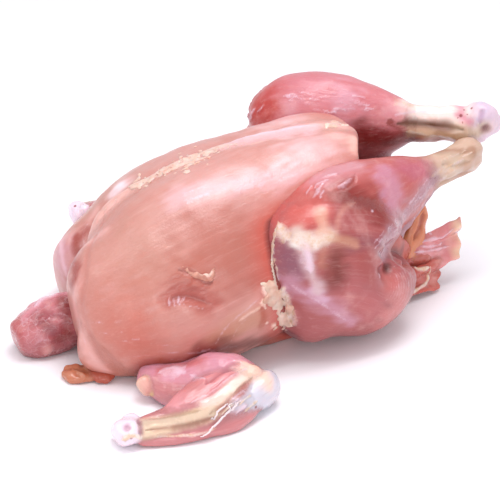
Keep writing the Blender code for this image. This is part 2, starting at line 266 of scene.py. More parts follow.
class Flesh:
    """One piece of the bird while it is grown and painted."""

    def __init__(self, name, muscles, voxel, smooth=12, cutters=(), blur=14):
        points, faces, start = [], [], 0
        for one in muscles:
            points.append(one["points"])
            faces += [tuple(v + start for v in face) for face in one["faces"]]
            start += len(one["points"])
        self.object = new_object(name, np.concatenate(points), faces)
        remesh(self.object, voxel)
        for cutter in cutters:
            cut = self.object.modifiers.new("cut", "BOOLEAN")
            cut.operation = "DIFFERENCE"
            cut.object = cutter
            cut.solver = "MANIFOLD"
        if cutters:
            applied(self.object)
            remesh(self.object, voxel)
        for cutter in cutters:
            bpy.data.objects.remove(cutter, do_unlink=True)
        mesh = self.object.data
        self.edges = neighbours(mesh)
        flat = np.empty(len(mesh.vertices) * 3)
        mesh.vertices.foreach_get("co", flat)
        self.points = spread(flat.reshape(-1, 3), self.edges, smooth)
        tree = KDTree(start)
        everything = np.concatenate(points)
        for n, point in enumerate(everything):
            tree.insert(point, n)
        tree.balance()
        nearest = np.array([tree.find(point)[1] for point in self.points])
        which = np.concatenate([np.full(len(one["points"]), n) for n, one in enumerate(muscles)])[nearest]
        straight = np.concatenate([one["straight"] + n * GRAIN_SHIFT for n, one in enumerate(muscles)])
        self.fibre = spread(straight[nearest], self.edges, 2)
        self.tint = spread(np.array([one["tint"] for one in muscles])[which], self.edges, blur)
        self.wet = spread(np.array([one["wet"] for one in muscles], float)[which], self.edges, blur)
        self.marks = np.zeros((len(self.points), 3))
        self.grit = 0.6 * wobble(self.points, 0.006, 7)
        self.grit += 0.7 * wobble(self.fibre * (1, 1, 0.12), 0.003, 8)
        self.lift = np.zeros(len(self.points))
        self.twin, self.twin_shift = None, 0
        self.measure()

    def measure(self):
        """Puts the points in the mesh, and works out the normals and the search tree again."""
        mesh = self.object.data
        mesh.vertices.foreach_set("co", self.points.ravel())
        mesh.update()
        normals = np.empty(len(mesh.vertices) * 3)
        mesh.vertex_normals.foreach_get("vector", normals)
        self.normals = normals.reshape(-1, 3)
        self.tree = BVHTree.FromPolygons([tuple(p) for p in self.points],
                                         [tuple(face.vertices) for face in mesh.polygons])

    def fill(self, rounds, zone=1.0):
        """Raises the valleys between muscles, so that they read as one mass."""
        for n in range(rounds):
            if n % 10 == 0 and n:
                self.measure()
            move = neighbour_mean(self.points, self.edges) - self.points
            out = (move * self.normals).sum(1, keepdims=True)
            move = move - self.normals * out + self.normals * np.maximum(out, 0)
            self.points = self.points + move * FILL_STEP * np.asarray(zone).reshape(-1, 1)
        self.measure()

    def uneven(self, size, height, seed):
        """Adds soft bumps of about that size and height."""
        self.lift += wobble(self.points, size, seed) * height

    def within(self, centre, radius):
        """1 inside a ball, fading to 0 over its outer third."""
        gap = np.linalg.norm(self.points - np.asarray(centre), axis=1)
        return np.clip((radius - gap) / (radius / 3), 0, 1)

    def seen(self, pixel):
        """Where the camera's ray through a photo pixel meets this piece."""
        focal = CAMERA_LENS / SENSOR * PHOTO_SIZE
        right, down = (pixel[0] - PHOTO_SIZE / 2) / focal, (pixel[1] - PHOTO_SIZE / 2) / focal
        way = unit(camera_right * right - camera_up * down - camera_back)
        hit = self.tree.ray_cast(Vector(camera_place), Vector(way))[0]
        return None if hit is None else np.array(hit)

    def path(self, pixels, step=0.0008):
        """A curve on the surface through photo pixels, as points about a step apart."""
        places = [self.seen(pixel) for pixel in pixels]
        places = np.array([place for place in places if place is not None]).reshape(-1, 3)
        if len(places) < 2:
            return places
        length = np.linalg.norm(np.diff(places, axis=0), axis=1).sum()
        return self.snapped(spline(places, np.linspace(0, 1, max(int(length / step), 8))))

    def snapped(self, places):
        """The nearest places on this piece's surface."""
        return np.array([np.array(self.tree.find_nearest(Vector(p))[0]) for p in places]).reshape(-1, 3)

    def mirrored(self, places, shift=0):
        """The places on the other side of the bird, on this piece's surface."""
        other = places.copy()
        other[:, 1] = 2 * MIDDLE_Y - other[:, 1]
        return self.snapped(other + shift)

    def spots(self, pixels):
        """Places under a photo pixel or along a list of them, or places as they are.

        With a twin, the pixels are looked up on it and come over mirrored and shifted."""
        if isinstance(pixels, np.ndarray):
            return pixels.reshape(-1, 3)
        if self.twin is not None:
            return self.mirrored(self.twin.spots(pixels), self.twin_shift)
        if isinstance(pixels, list):
            return self.path(pixels)
        hit = self.seen(pixels)
        return np.zeros((0, 3)) if hit is None else hit[None]

    def both(self, pixels, mirror):
        """The places, and with mirror also those on the bird's other side."""
        places = self.spots(pixels)
        yield places
        if mirror and len(places):
            yield self.mirrored(places)

    def stain(self, colour, share):
        """Draws the tint towards a screen colour, by a share for each point."""
        self.tint += (srgb(colour) - self.tint) * share[:, None]

    def nearness(self, places, radius, rough=0.35, seed=1, taper=True):
        """1 on the places, falling to 0 at about radius, with an uneven edge."""
        if len(places) == 0:
            return np.zeros(len(self.points))
        tree = KDTree(len(places))
        for n, place in enumerate(places):
            tree.insert(place, n)
        tree.balance()
        low, high = places.min(0) - radius * 1.6, places.max(0) + radius * 1.6
        inside = np.nonzero(np.all((self.points > low) & (self.points < high), axis=1))[0]
        found = [tree.find(self.points[n]) for n in inside]
        gap = np.array([f[2] for f in found])
        share = np.array([f[1] for f in found]) / max(len(places) - 1, 1)
        reach = np.full(len(inside), radius, float)
        if taper and len(places) > 2:
            reach *= np.clip(np.minimum(share, 1 - share) * 6, 0.25, 1)
        reach *= 1 + rough * wobble(self.points[inside], max(radius * 2.2, 0.004), seed)
        value = np.zeros(len(self.points))
        value[inside] = np.clip(1 - gap / np.maximum(reach, 1e-5), 0, 1)
        return value

    def brush(self, pixels, radius, colour, strength, seed, lift=0.0, wet=None, mirror=False):
        """A soft patch of colour round a photo pixel, places or a path."""
        for spot in self.both(pixels, mirror):
            share = self.nearness(spot, radius, 0.30, seed, taper=False)
            share = share * share * (3 - 2 * share)
            share = np.clip(share + share * (1 - share) * 1.3 * self.grit, 0, 1)
            self.stain(colour, share * strength)
            self.lift += share * lift
            if wet is not None:
                self.wet += (wet - self.wet) * share * strength

    def mark(self, pixels, radius, kind, amount, seed, lift=0.0, rough=0.35, mirror=False):
        """A fine line or spot: kind is cream, blood, or the pale lilac kind that is membrane in some
        places and a painted highlight in others.
        """
        column = ("cream", "blood", "veil").index(kind)
        for spot in self.both(pixels, mirror):
            share = self.nearness(spot, radius, rough, seed)
            self.marks[:, column] = np.maximum(self.marks[:, column], share * amount)
            self.lift += np.minimum(share * 1.6, 1) ** 2 * lift

    def crease(self, pixels, radius, depth, seed, colour, strength, mirror=False):
        """A furrow along photo pixels."""
        for spot in self.both(pixels, mirror):
            share = self.nearness(spot, radius, 0.2, seed)
            share = share * share * (3 - 2 * share)
            self.lift -= share * depth
            self.stain(colour, share * strength)

    def done(self, material):
        """Raises the relief, flattens what would sink into the table and stores the paint."""
        self.points = self.points + self.normals * self.lift[:, None]
        self.points[:, 2] = np.maximum(self.points[:, 2], TABLE_GAP)
        self.measure()
        paint = np.ones((len(self.points), 4))
        paint[:, :3] = np.clip(self.tint, 0, 1) ** PAINT_DEPTH * PAINT_GAIN
        store(self.object.data, "tint", "FLOAT_COLOR", paint)
        store(self.object.data, "fibre", "FLOAT_VECTOR", self.fibre)
        store(self.object.data, "marks", "FLOAT_VECTOR", self.marks)
        store(self.object.data, "wet", "FLOAT", self.wet)
        finished(self.object, material)


def flesh_material(name, grain=1.0, mottle=1.0, roughness=0.34, coat=0.35, inner=0.16, net=0.0, gloss=0.5,
                   fat=((236, 218, 206), (222, 186, 152))):
    """Wet raw meat: tint of the vertices, mottled and streaked along the fibres, with
    ragged cream, blood-red and lilac marks, the lilac ones membrane in some places and
    painted highlights in others, and a thin wet film over it."""
    made = bpy.data.materials.new(name)
    made.use_nodes = True
    nodes, links = made.node_tree.nodes, made.node_tree.links
    surface = nodes["Principled BSDF"]

    def node(kind, **settings):
        one = nodes.new(kind)
        for key, value in settings.items():
            setattr(one, key, value)
        return one

    def noise(vector, scale, detail=3.0, rough=0.55):
        one = node("ShaderNodeTexNoise")
        one.inputs["Scale"].default_value = scale
        one.inputs["Detail"].default_value = detail
        one.inputs["Roughness"].default_value = rough
        links.new(vector, one.inputs["Vector"])
        return one.outputs["Fac"]

    def maths(kind, a, b):
        one = node("ShaderNodeMath", operation=kind)
        for slot, value in zip(one.inputs, (a, b)):
            if isinstance(value, (int, float)):
                slot.default_value = value
            else:
                links.new(value, slot)
        return one.outputs[0]

    def ramp(value, low, high, out_low=0.0, out_high=1.0):
        one = node("ShaderNodeMapRange", interpolation_type="SMOOTHSTEP")
        links.new(value, one.inputs["Value"])
        limits = {"From Min": low, "From Max": high, "To Min": out_low, "To Max": out_high}
        for key, number in limits.items():
            one.inputs[key].default_value = number
        return one.outputs[0]

    def mixed(a, b, share, how="MIX"):
        one = node("ShaderNodeMix", data_type="RGBA", blend_type=how)
        for slot, value in ((one.inputs[6], a), (one.inputs[7], b)):
            if isinstance(value, tuple):
                slot.default_value = (*srgb(value), 1)
            else:
                links.new(value, slot)
        if isinstance(share, (int, float)):
            one.inputs[0].default_value = share
        else:
            links.new(share, one.inputs[0])
        return one.outputs[2]

    place = node("ShaderNodeTexCoord").outputs["Object"]
    tint = node("ShaderNodeAttribute", attribute_name="tint").outputs["Color"]
    marks = node("ShaderNodeSeparateXYZ")
    links.new(node("ShaderNodeAttribute", attribute_name="marks").outputs["Vector"], marks.inputs[0])
    wet = node("ShaderNodeAttribute", attribute_name="wet").outputs["Fac"]
    stretch = node("ShaderNodeMapping")
    stretch.inputs["Scale"].default_value = (1, 1, 0.06)
    fibre = node("ShaderNodeAttribute", attribute_name="fibre").outputs["Vector"]
    links.new(fibre, stretch.inputs["Vector"])
    strands = noise(stretch.outputs[0], 800, 4.0, 0.6)
    bundles = noise(stretch.outputs[0], 170, 3.0, 0.5)
    patches = noise(place, 55, 4.0, 0.6)
    spots = noise(place, 260, 4.0, 0.65)
    speck = noise(place, 1300, 3.0, 0.6)

    colour = mixed(tint, (176, 84, 72), ramp(patches, 0.50, 0.80, 0, 0.30 * mottle))
    colour = mixed(colour, (243, 205, 198), ramp(patches, 0.46, 0.22, 0, 0.30 * mottle))
    colour = mixed(colour, (238, 196, 188), ramp(strands, 0.50, 0.80, 0, 0.20 * grain))
    colour = mixed(colour, (160, 70, 62), ramp(strands, 0.46, 0.24, 0, 0.20 * grain))
    colour = mixed(colour, (214, 134, 124), ramp(bundles, 0.55, 0.75, 0, 0.22 * grain))
    colour = mixed(colour, (170, 74, 66), ramp(spots, 0.60, 0.78, 0, 0.20 * mottle))
    broken = maths("ADD", maths("MULTIPLY", spots, 0.5), maths("MULTIPLY", speck, 0.25))
    broken = maths("SUBTRACT", broken, 0.375)
    # Pale lilac marks: membrane, and painted highlights where they stand for glints.
    veil = ramp(maths("ADD", marks.outputs[2], maths("MULTIPLY", broken, 1.6)), 0.15, 0.95, 0, 0.75)
    colour = mixed(colour, (228, 200, 214), veil)
    blood = ramp(maths("ADD", marks.outputs[1], broken), 0.30, 0.62, 0, 0.85)
    colour = mixed(colour, (142, 44, 34), blood)
    cream = ramp(maths("ADD", marks.outputs[0], broken), 0.20, 0.72, 0, 0.90)
    colour = mixed(colour, mixed(fat[0], fat[1], ramp(spots, 0.40, 0.65)), cream)
    if net:
        cells = node("ShaderNodeTexVoronoi", feature="DISTANCE_TO_EDGE")
        cells.inputs["Scale"].default_value = 150
        bent = node("ShaderNodeVectorMath", operation="ADD")
        links.new(place, bent.inputs[0])
        drift = node("ShaderNodeTexNoise")
        drift.inputs["Scale"].default_value = 150
        shrunk = node("ShaderNodeVectorMath", operation="SCALE")
        shrunk.inputs["Scale"].default_value = 0.012
        links.new(place, drift.inputs["Vector"])
        links.new(drift.outputs["Color"], shrunk.inputs[0])
        links.new(shrunk.outputs[0], bent.inputs[1])
        links.new(bent.outputs[0], cells.inputs["Vector"])
        threads = ramp(cells.outputs["Distance"], 0.07, 0.0, 0, net)
        colour = mixed(colour, (236, 206, 214), maths("MULTIPLY", threads, ramp(patches, 0.40, 0.62)))
    links.new(colour, surface.inputs["Base Color"])

    film = maths("SUBTRACT", roughness + 0.16, maths("MULTIPLY", wet, 0.26))
    film = maths("ADD", film, maths("MULTIPLY", maths("SUBTRACT", spots, 0.5), 0.30))
    links.new(film, surface.inputs["Roughness"])
    surface.inputs["Specular IOR Level"].default_value = gloss
    surface.inputs["Subsurface Weight"].default_value = inner
    surface.inputs["Subsurface Radius"].default_value = (1.0, 0.32, 0.22)
    surface.inputs["Subsurface Scale"].default_value = 0.004
    surface.inputs["Coat Weight"].default_value = coat
    surface.inputs["Coat Roughness"].default_value = 0.09
    surface.inputs["Coat IOR"].default_value = 1.38

    height = maths("MULTIPLY", strands, 0.45 * grain)
    for layer, share in ((bundles, 0.9 * grain), (spots, 0.55), (speck, 0.10), (cream, 0.3)):
        height = maths("ADD", height, maths("MULTIPLY", layer, share))
    bump = node("ShaderNodeBump")
    bump.inputs["Strength"].default_value = 0.55
    bump.inputs["Distance"].default_value = 0.0009
    links.new(height, bump.inputs["Height"])
    links.new(bump.outputs[0], surface.inputs["Normal"])
    links.new(bump.outputs[0], surface.inputs["Coat Normal"])
    return made


THIGH_FRONT = ((-0.006, -0.046, 0.049), (0.013, 0.049, 0.058))
THIGH_BACK = ((0.079, -0.038, 0.020), (0.087, 0.038, 0.025))
THIGH_FULLNESS = (1.0, 0.85)
THIGH_BEND = (0.010, 0.004)
KNEE = ((0.014, -0.049, 0.064), (0.039, 0.050, 0.086))
ANKLE = ((0.104, -0.019, 0.076), (0.112, 0.017, 0.088))
HOCK = ((0.131, -0.006, 0.0745), (0.142, 0.008, 0.086))
THIGH_TINT = ((176, 98, 98), (194, 112, 114))
CALF_TINT = ((194, 106, 102), (206, 128, 134))
SHANK_TINT = ((208, 178, 158), (222, 190, 178))


def between(a, b, share, lift=0.0, side=0.0):
    """A place part of the way from a to b, moved up and to the side."""
    return np.asarray(a) + (np.asarray(b) - np.asarray(a)) * share + np.array([0, side, lift])


legs = []
for side, hand in enumerate(HANDS):
    front, back = THIGH_FRONT[side], THIGH_BACK[side]
    knee, ankle, hock = KNEE[side], ANKLE[side], HOCK[side]
    full, bend = THIGH_FULLNESS[side], THIGH_BEND[side]
    leg_muscles = [
        muscle([
            (front, 0.020, 0.033 * full),
            (between(front, back, 0.25, 0.7 * bend, hand * 0.004), 0.027, 0.041 * full),
            (between(front, back, 0.50, bend, hand * 0.005), 0.028, 0.042 * full),
            (between(front, back, 0.75, 0.3 * bend, hand * 0.004), 0.025, 0.030 * full),
            (back, 0.016 + 0.003 * side, 0.017 + 0.001 * side),
        ], THIGH_TINT[side], blunt=3.4, square=2.3, sides=90, rings=70),
        muscle([
            (between(knee, ankle, -0.16, -0.004), 0.018, 0.020),
            (between(knee, ankle, 0.16, 0.001), 0.022, 0.027),
            (between(knee, ankle, 0.42, -0.001), 0.021, 0.028),
            (between(knee, ankle, 0.72, -0.001), 0.015, 0.021),
            (between(knee, ankle, 1.02), 0.0080, 0.011),
        ], CALF_TINT[side], blunt=3.2, sides=80, rings=70),
        muscle([
            (between(knee, ankle, 1.00, -0.008, -hand * 0.002), 0.006, 0.009),
            (between(knee, ankle, 0.78, -0.020, -hand * 0.003), 0.009, 0.015),
            (between(knee, ankle, 0.52, -0.028), 0.013, 0.019),
        ][side:], (190, 150, 158), blunt=2.6),
        muscle([
            (between(ankle, hock, -0.55), 0.0070, 0.0095),
            (between(ankle, hock, 0.10, -0.001 * side), 0.0075, 0.0098 + 0.0015 * side),
            (hock, 0.0085, 0.0105),
            (between(ankle, hock, 1.20), 0.0080, 0.0100),
        ], SHANK_TINT[side], blunt=5.0),
    ]
    if side:
        hock = np.asarray(hock)
        leg_muscles.append(muscle([
            (hock + (-0.001, 0, -0.010), 0.0095, 0.0085),
            (hock + (0.003, 0, 0.003), 0.0105, 0.0125),
            (hock + (0.008, 0, 0.010), 0.0095, 0.0095),
        ], (226, 204, 216)))
    legs.append(Flesh(f"leg_{SIDES[side]}", leg_muscles, 0.0010, smooth=40 if side == 0 else 14, blur=24))
near_leg, far_leg = legs
near_leg.fill(160)
far_leg.fill(50)
for n, leg in enumerate(legs):
    leg.uneven(0.024, 0.0007, 80 + n)
    leg.uneven(0.009, 0.0002, 82 + n)
    on_shank = np.clip((leg.points[:, 0] - 0.088) / 0.015, 0, 1)
    leg.lift += on_shank * 0.0011 * wobble(leg.points, 0.014, 86 + n)
    leg.lift += on_shank * 0.0005 * wobble(leg.points, 0.005, 88 + n)


# The near thigh is pressed flatter beside the vent and at its lower end.
VENT_SIDE = [(426, 212), (414, 234), (402, 254), (396, 266)]
near_leg.brush(VENT_SIDE, 0.016, THIGH_TINT[0], 0.0, 84, lift=-0.0080)
near_leg.brush([(430, 290), (428, 304), (424, 316)], 0.018, THIGH_TINT[0], 0.0, 85, lift=-0.0050)
near_leg.points = near_leg.points + near_leg.normals * near_leg.lift[:, None]
near_leg.lift[:] = 0
near_leg.points = spread(near_leg.points, near_leg.edges, 6)
near_leg.measure()


chance = np.random.default_rng(399)


def paint_outer_side(leg):
    """The knee side of a leg: red muscles parted by white fascia that meets at the knee."""
    # Muscles.
    for row in (
        ([(296, 190), (310, 200), (300, 216)], 0.022, (206, 104, 96), 0.95, 90),
        # Pale lilac on the top of the leg: partly membrane, partly painted sheen.
        ([(322, 176), (350, 166)], 0.014, (212, 158, 166), 0.85, 91),
        ([(348, 196), (366, 202), (384, 214)], 0.015, (142, 38, 28), 0.95, 92),
        ([(384, 172), (394, 184), (392, 200)], 0.014, (206, 152, 172), 0.75, 93),
        ([(404, 168), (424, 172)], 0.012, (196, 112, 130), 0.85, 94),
        ([(290, 250), (292, 268)], 0.017, (148, 94, 110), 0.95, 95),
        ([(336, 258), (338, 276)], 0.015, (128, 42, 32), 0.95, 96),
        ([(362, 256), (368, 274)], 0.013, (172, 84, 80), 0.9, 97),
        ([(352, 248), (372, 244), (384, 252)], 0.007, (150, 84, 92), 0.8, 98),
        ([(396, 286), (402, 302), (390, 316)], 0.014, (212, 134, 130), 0.8, 99),
        ([(352, 300), (372, 310)], 0.014, (190, 106, 108), 0.7, 116),
        ([(288, 282), (306, 294), (328, 304), (352, 322)], 0.0085, (200, 150, 166), 0.85, 117),
        ([(312, 290), (324, 300)], 0.0050, (216, 180, 200), 0.8, 118),
        # Painted shade: dark along the leg's lower edge, where it turns under.
        ([(292, 336), (330, 340), (372, 334)], 0.009, (126, 56, 66), 0.9, 101),
    ):
        leg.brush(*row)
    # The fibrous silver band down to the vent.
    leg.brush([(436, 178), (420, 196), (404, 216), (392, 238), (380, 254)], 0.011,
              (186, 148, 158), 0.85, 100, wet=0.9)
    for n in range(26):
        along = chance.uniform(0, 0.85)
        aside = chance.normal() * 5
        x, y = 436 - 56 * along + aside, 176 + 76 * along + aside * 0.6
        reach = chance.uniform(8, 20)
        leg.mark([(x, y), (x - 0.32 * reach, y + 0.5 * reach), (x - 0.60 * reach, y + 0.8 * reach)],
                 chance.uniform(0.0006, 0.0013), "blood" if n % 4 == 0 else "veil",
                 0.45 if n % 4 == 0 else 0.75, 401 + n, lift=0.0002)
    # White fascia that meets at the knee in a Y.
    fascia = (224, 206, 196)
    for row in (
        ([(300, 238), (314, 240), (328, 236)], 0.0080, fascia, 1.0, 102),
        ([(330, 237), (344, 241), (356, 244)], 0.0044, (212, 162, 134), 0.65, 103),
        ([(320, 212), (323, 224), (320, 236)], 0.0062, (222, 176, 156), 0.75, 105),
        ([(298, 244), (308, 244), (316, 246)], 0.0050, (240, 232, 228), 0.85, 191),
        ([(308, 246), (310, 262), (313, 278), (318, 292)], 0.0060, (214, 186, 190), 0.85, 104),
        ([(324, 248), (321, 264)], 0.0060, (198, 140, 116), 0.5, 110),
    ):
        leg.brush(*row)
    leg.crease([(337, 234), (338, 220), (344, 208), (356, 202)],
               0.0030, 0.0004, 119, (222, 176, 158), 0.35)
    for row in (
        ([(292, 240), (304, 238), (318, 241), (332, 236)], 0.0085, "cream", 0.60, 106, 0, 0.7),
        ([(278, 222), (282, 232), (290, 240)], 0.0042, "cream", 0.75, 107, 0, 0.7),
        ([(306, 244), (309, 258), (311, 274)], 0.0050, "veil", 1.0, 108, 0, 0.7),
        ([(322, 214), (326, 226), (330, 236), (344, 243), (356, 245)], 0.0020, "cream", 0.32, 109),
    ):
        leg.mark(*row)
    # Wet crinkles, raised and painted with pale lilac highlights, and the fold on the upper muscle.
    crinkles = (
        [(314, 190), (317, 185), (323, 182), (330, 179)],
        [(317, 196), (320, 187), (325, 183)],
        [(313, 200), (316, 193), (318, 188)],
        [(322, 178), (331, 175), (338, 174)],
        [(320, 200), (322, 194), (325, 190)],
        [(306, 196), (309, 190), (314, 184)],
    )
    for n, line in enumerate(crinkles):
        leg.mark(line, 0.0011, "veil", 0.95, 111 + n, lift=0.0007)
    leg.crease([(330, 196), (339, 190), (347, 187), (354, 181), (355, 174)],
               0.0018, 0.0008, 113, (170, 74, 66), 0.7)
    # Painted highlights: pale lilac above the fold, and two small glints lower on the leg.
    for row in (
        ([(334, 190), (344, 184), (352, 178)], 0.0020, "veil", 0.7, 114, 0.0006),
        ((372, 211), 0.0020, "veil", 1.0, 120, 0.0005),
        ((379, 276), 0.0016, "veil", 0.9, 121, 0.0005),
    ):
        leg.mark(*row)
    # The pit by the vent, painted dark as shade, and curved folds on the muscle under it.
    leg.brush((387, 268), 0.0045, (96, 36, 32), 0.9, 115, lift=-0.0014)
    for n in range(11):
        swing = np.radians(np.linspace(-38, 62, 5) - 2.0 * n)
        reach = 15 + 2.3 * n
        arc = [(376 + reach * math.cos(a) * 1.05, 286 + reach * math.sin(a)) for a in swing]
        leg.mark(arc, 0.0007, "veil", 0.42 + 0.2 * (n % 2), 122 + n)
        leg.crease([(x + 1.2, y + 1) for x, y in arc], 0.0010, 0.00022, 134 + n, (186, 100, 98), 0.25)
    leg.mark([(290, 284), (304, 293), (322, 304), (350, 322)], 0.0020, "veil", 0.6, 147)
    # Beige pads of fat at the bottom of the crease.
    leg.crease([(281, 296), (286, 304), (284, 314)], 0.0018, 0.0008, 188, (190, 140, 110), 0.5)
    leg.crease([(290, 300), (293, 310), (291, 322)], 0.0016, 0.0006, 189, (176, 110, 104), 0.5)
    leg.mark([(284, 288), (282, 300), (286, 312), (284, 324)], 0.0085, "cream", 0.8, 163, 0.0012, 0.8)
    leg.mark([(276, 326), (286, 329)], 0.0036, "cream", 0.8, 164, 0.0008, 0.8)
    # Thin fatty edge along the crease.
    for n in range(14):
        y = 228 + n * 3.8
        x = 277.5 - 5.0 * math.sin(math.pi * min(n / 11, 1)) + chance.normal() * 0.5
        leg.mark([(x, y), (x + 0.6, y + 3.4)], 0.0024, "cream", 0.55, 148 + n, lift=0.0004, rough=0.8)


paint_outer_side(near_leg)
far_leg.twin = near_leg
paint_outer_side(far_leg)
far_leg.twin = None

# The far leg's upper side, which is the one in view, and the near leg's inner side. Painted shade, dark
# red, lies low on each leg's inner side, where it faces the body.
INNER_SHADE_RED = (130, 8, 6)
for n, leg in enumerate(legs):
    inner = leg.normals[:, 1] * -HANDS[n]
    low_inside = np.clip((inner - 0.25) * 2, 0, 1) * np.clip((0.120 - leg.points[:, 0]) / 0.02, 0, 1)
    below = np.clip((0.085 - leg.points[:, 2]) / 0.02 + 0.3 * wobble(leg.points, 0.02, 150), 0, 1)
    leg.stain(INNER_SHADE_RED, low_inside * below * 0.95)
for row in (
    ((262, 110), 0.024, (188, 66, 56), 0.95, 151),
    ((310, 84), 0.022, (204, 134, 144), 0.8, 152),
    # Pale lilac on the far leg's top: partly its own colour, partly painted sheen.
    ((345, 100), 0.020, (218, 168, 180), 0.8, 153),
    ((392, 108), 0.014, (220, 156, 164), 0.8, 154),
    # Painted shade: the far thigh's inner side, dark red, seen in the opening.
    ([(362, 134), (384, 140), (410, 136)], 0.014, (130, 14, 10), 0.95, 155),
):
    far_leg.brush(*row)
# Painted highlights: short pale lilac glints along the fibres of the far leg's upper side.
for n in range(34):
    x, y = chance.uniform(282, 366), chance.normal(103, 6)
    reach = chance.uniform(5, 15)
    y += (x - 320) * 0.08
    far_leg.mark([(x, y), (x + reach / 2, y + chance.normal() * 0.6), (x + reach, y + reach * 0.12)],
                 chance.uniform(0.0007, 0.0013), "veil", chance.uniform(0.4, 0.95), 430 + n, lift=0.0002)
far_leg.brush([(416, 112), (434, 110), (450, 112), (464, 108)], 0.016, (246, 228, 222), 1.0, 165)
far_leg.crease([(398, 124), (418, 125), (440, 127), (462, 130)], 0.0046, 0.0018, 168, (126, 84, 54), 0.9)
for row in (
    ([(410, 132), (436, 135), (462, 138)], 0.0050, (200, 164, 128), 0.8, 169),
    ([(470, 96), (482, 104), (484, 118)], 0.012, (214, 196, 216), 0.9, 172),
    ([(462, 128), (476, 134), (484, 128)], 0.0080, (210, 190, 166), 0.8, 173),
    ([(468, 98), (461, 106), (462, 116), (470, 122)], 0.0050, (224, 140, 164), 0.7, 174),
):
    far_leg.brush(*row)
for row in (
    ([(386, 108), (404, 104), (424, 106), (446, 104)], 0.0050, "cream", 0.55, 166, 0, 0.8),
    ([(392, 116), (410, 112), (432, 112)], 0.0016, "veil", 0.8, 167),
    ([(402, 131), (424, 134), (448, 137), (470, 142)], 0.0018, "cream", 0.65, 170, 0.0005),
    ((390, 122), 0.0040, "blood", 0.9, 171),
    ([(386, 124), (396, 127), (406, 128)], 0.0020, "blood", 0.6, 187),
):
    far_leg.mark(*row)
for n in range(14):
    x, y = 464 + chance.normal() * 3.5, 98 + n * 1.9 + chance.normal()
    far_leg.mark((x, y), chance.uniform(0.0008, 0.0016), "blood", 0.75, 480 + n, rough=0.8)
far_leg.brush((487, 129), 0.0050, (120, 44, 50), 0.9, 180, lift=-0.0012)
far_leg.crease([(476, 98), (482, 110), (480, 124)], 0.0030, 0.0014, 181, (186, 152, 178), 0.6)
near_leg.brush((455, 168), 0.018, (214, 192, 172), 0.9, 182)
near_leg.crease([(438, 186), (452, 180), (470, 172)], 0.0030, 0.0014, 184, (182, 146, 122), 0.7)
near_leg.crease([(442, 164), (456, 166), (470, 162)], 0.0026, 0.0010, 185, (184, 148, 118), 0.6)
near_leg.brush([(438, 152), (456, 150), (474, 152)], 0.0050, (162, 116, 88), 0.6, 186)
near_leg.mark([(430, 178), (444, 170), (462, 166)], 0.0050, "cream", 0.50, 183, 0, 0.8)
for n in range(16):
    x, y = chance.uniform(434, 470), chance.uniform(154, 182)
    near_leg.mark([(x, y), (x + 6, y - 2.5), (x + 12, y - 6)], chance.uniform(0.0006, 0.0012),
                  "cream" if n % 2 else "veil", 0.7, 500 + n, lift=0.0003)
leg_flesh = flesh_material("leg_flesh", grain=0.7, mottle=0.8, roughness=0.34, coat=0.45,
                           fat=((228, 210, 202), (216, 180, 150)))
near_leg.done(leg_flesh)
far_leg.done(leg_flesh)


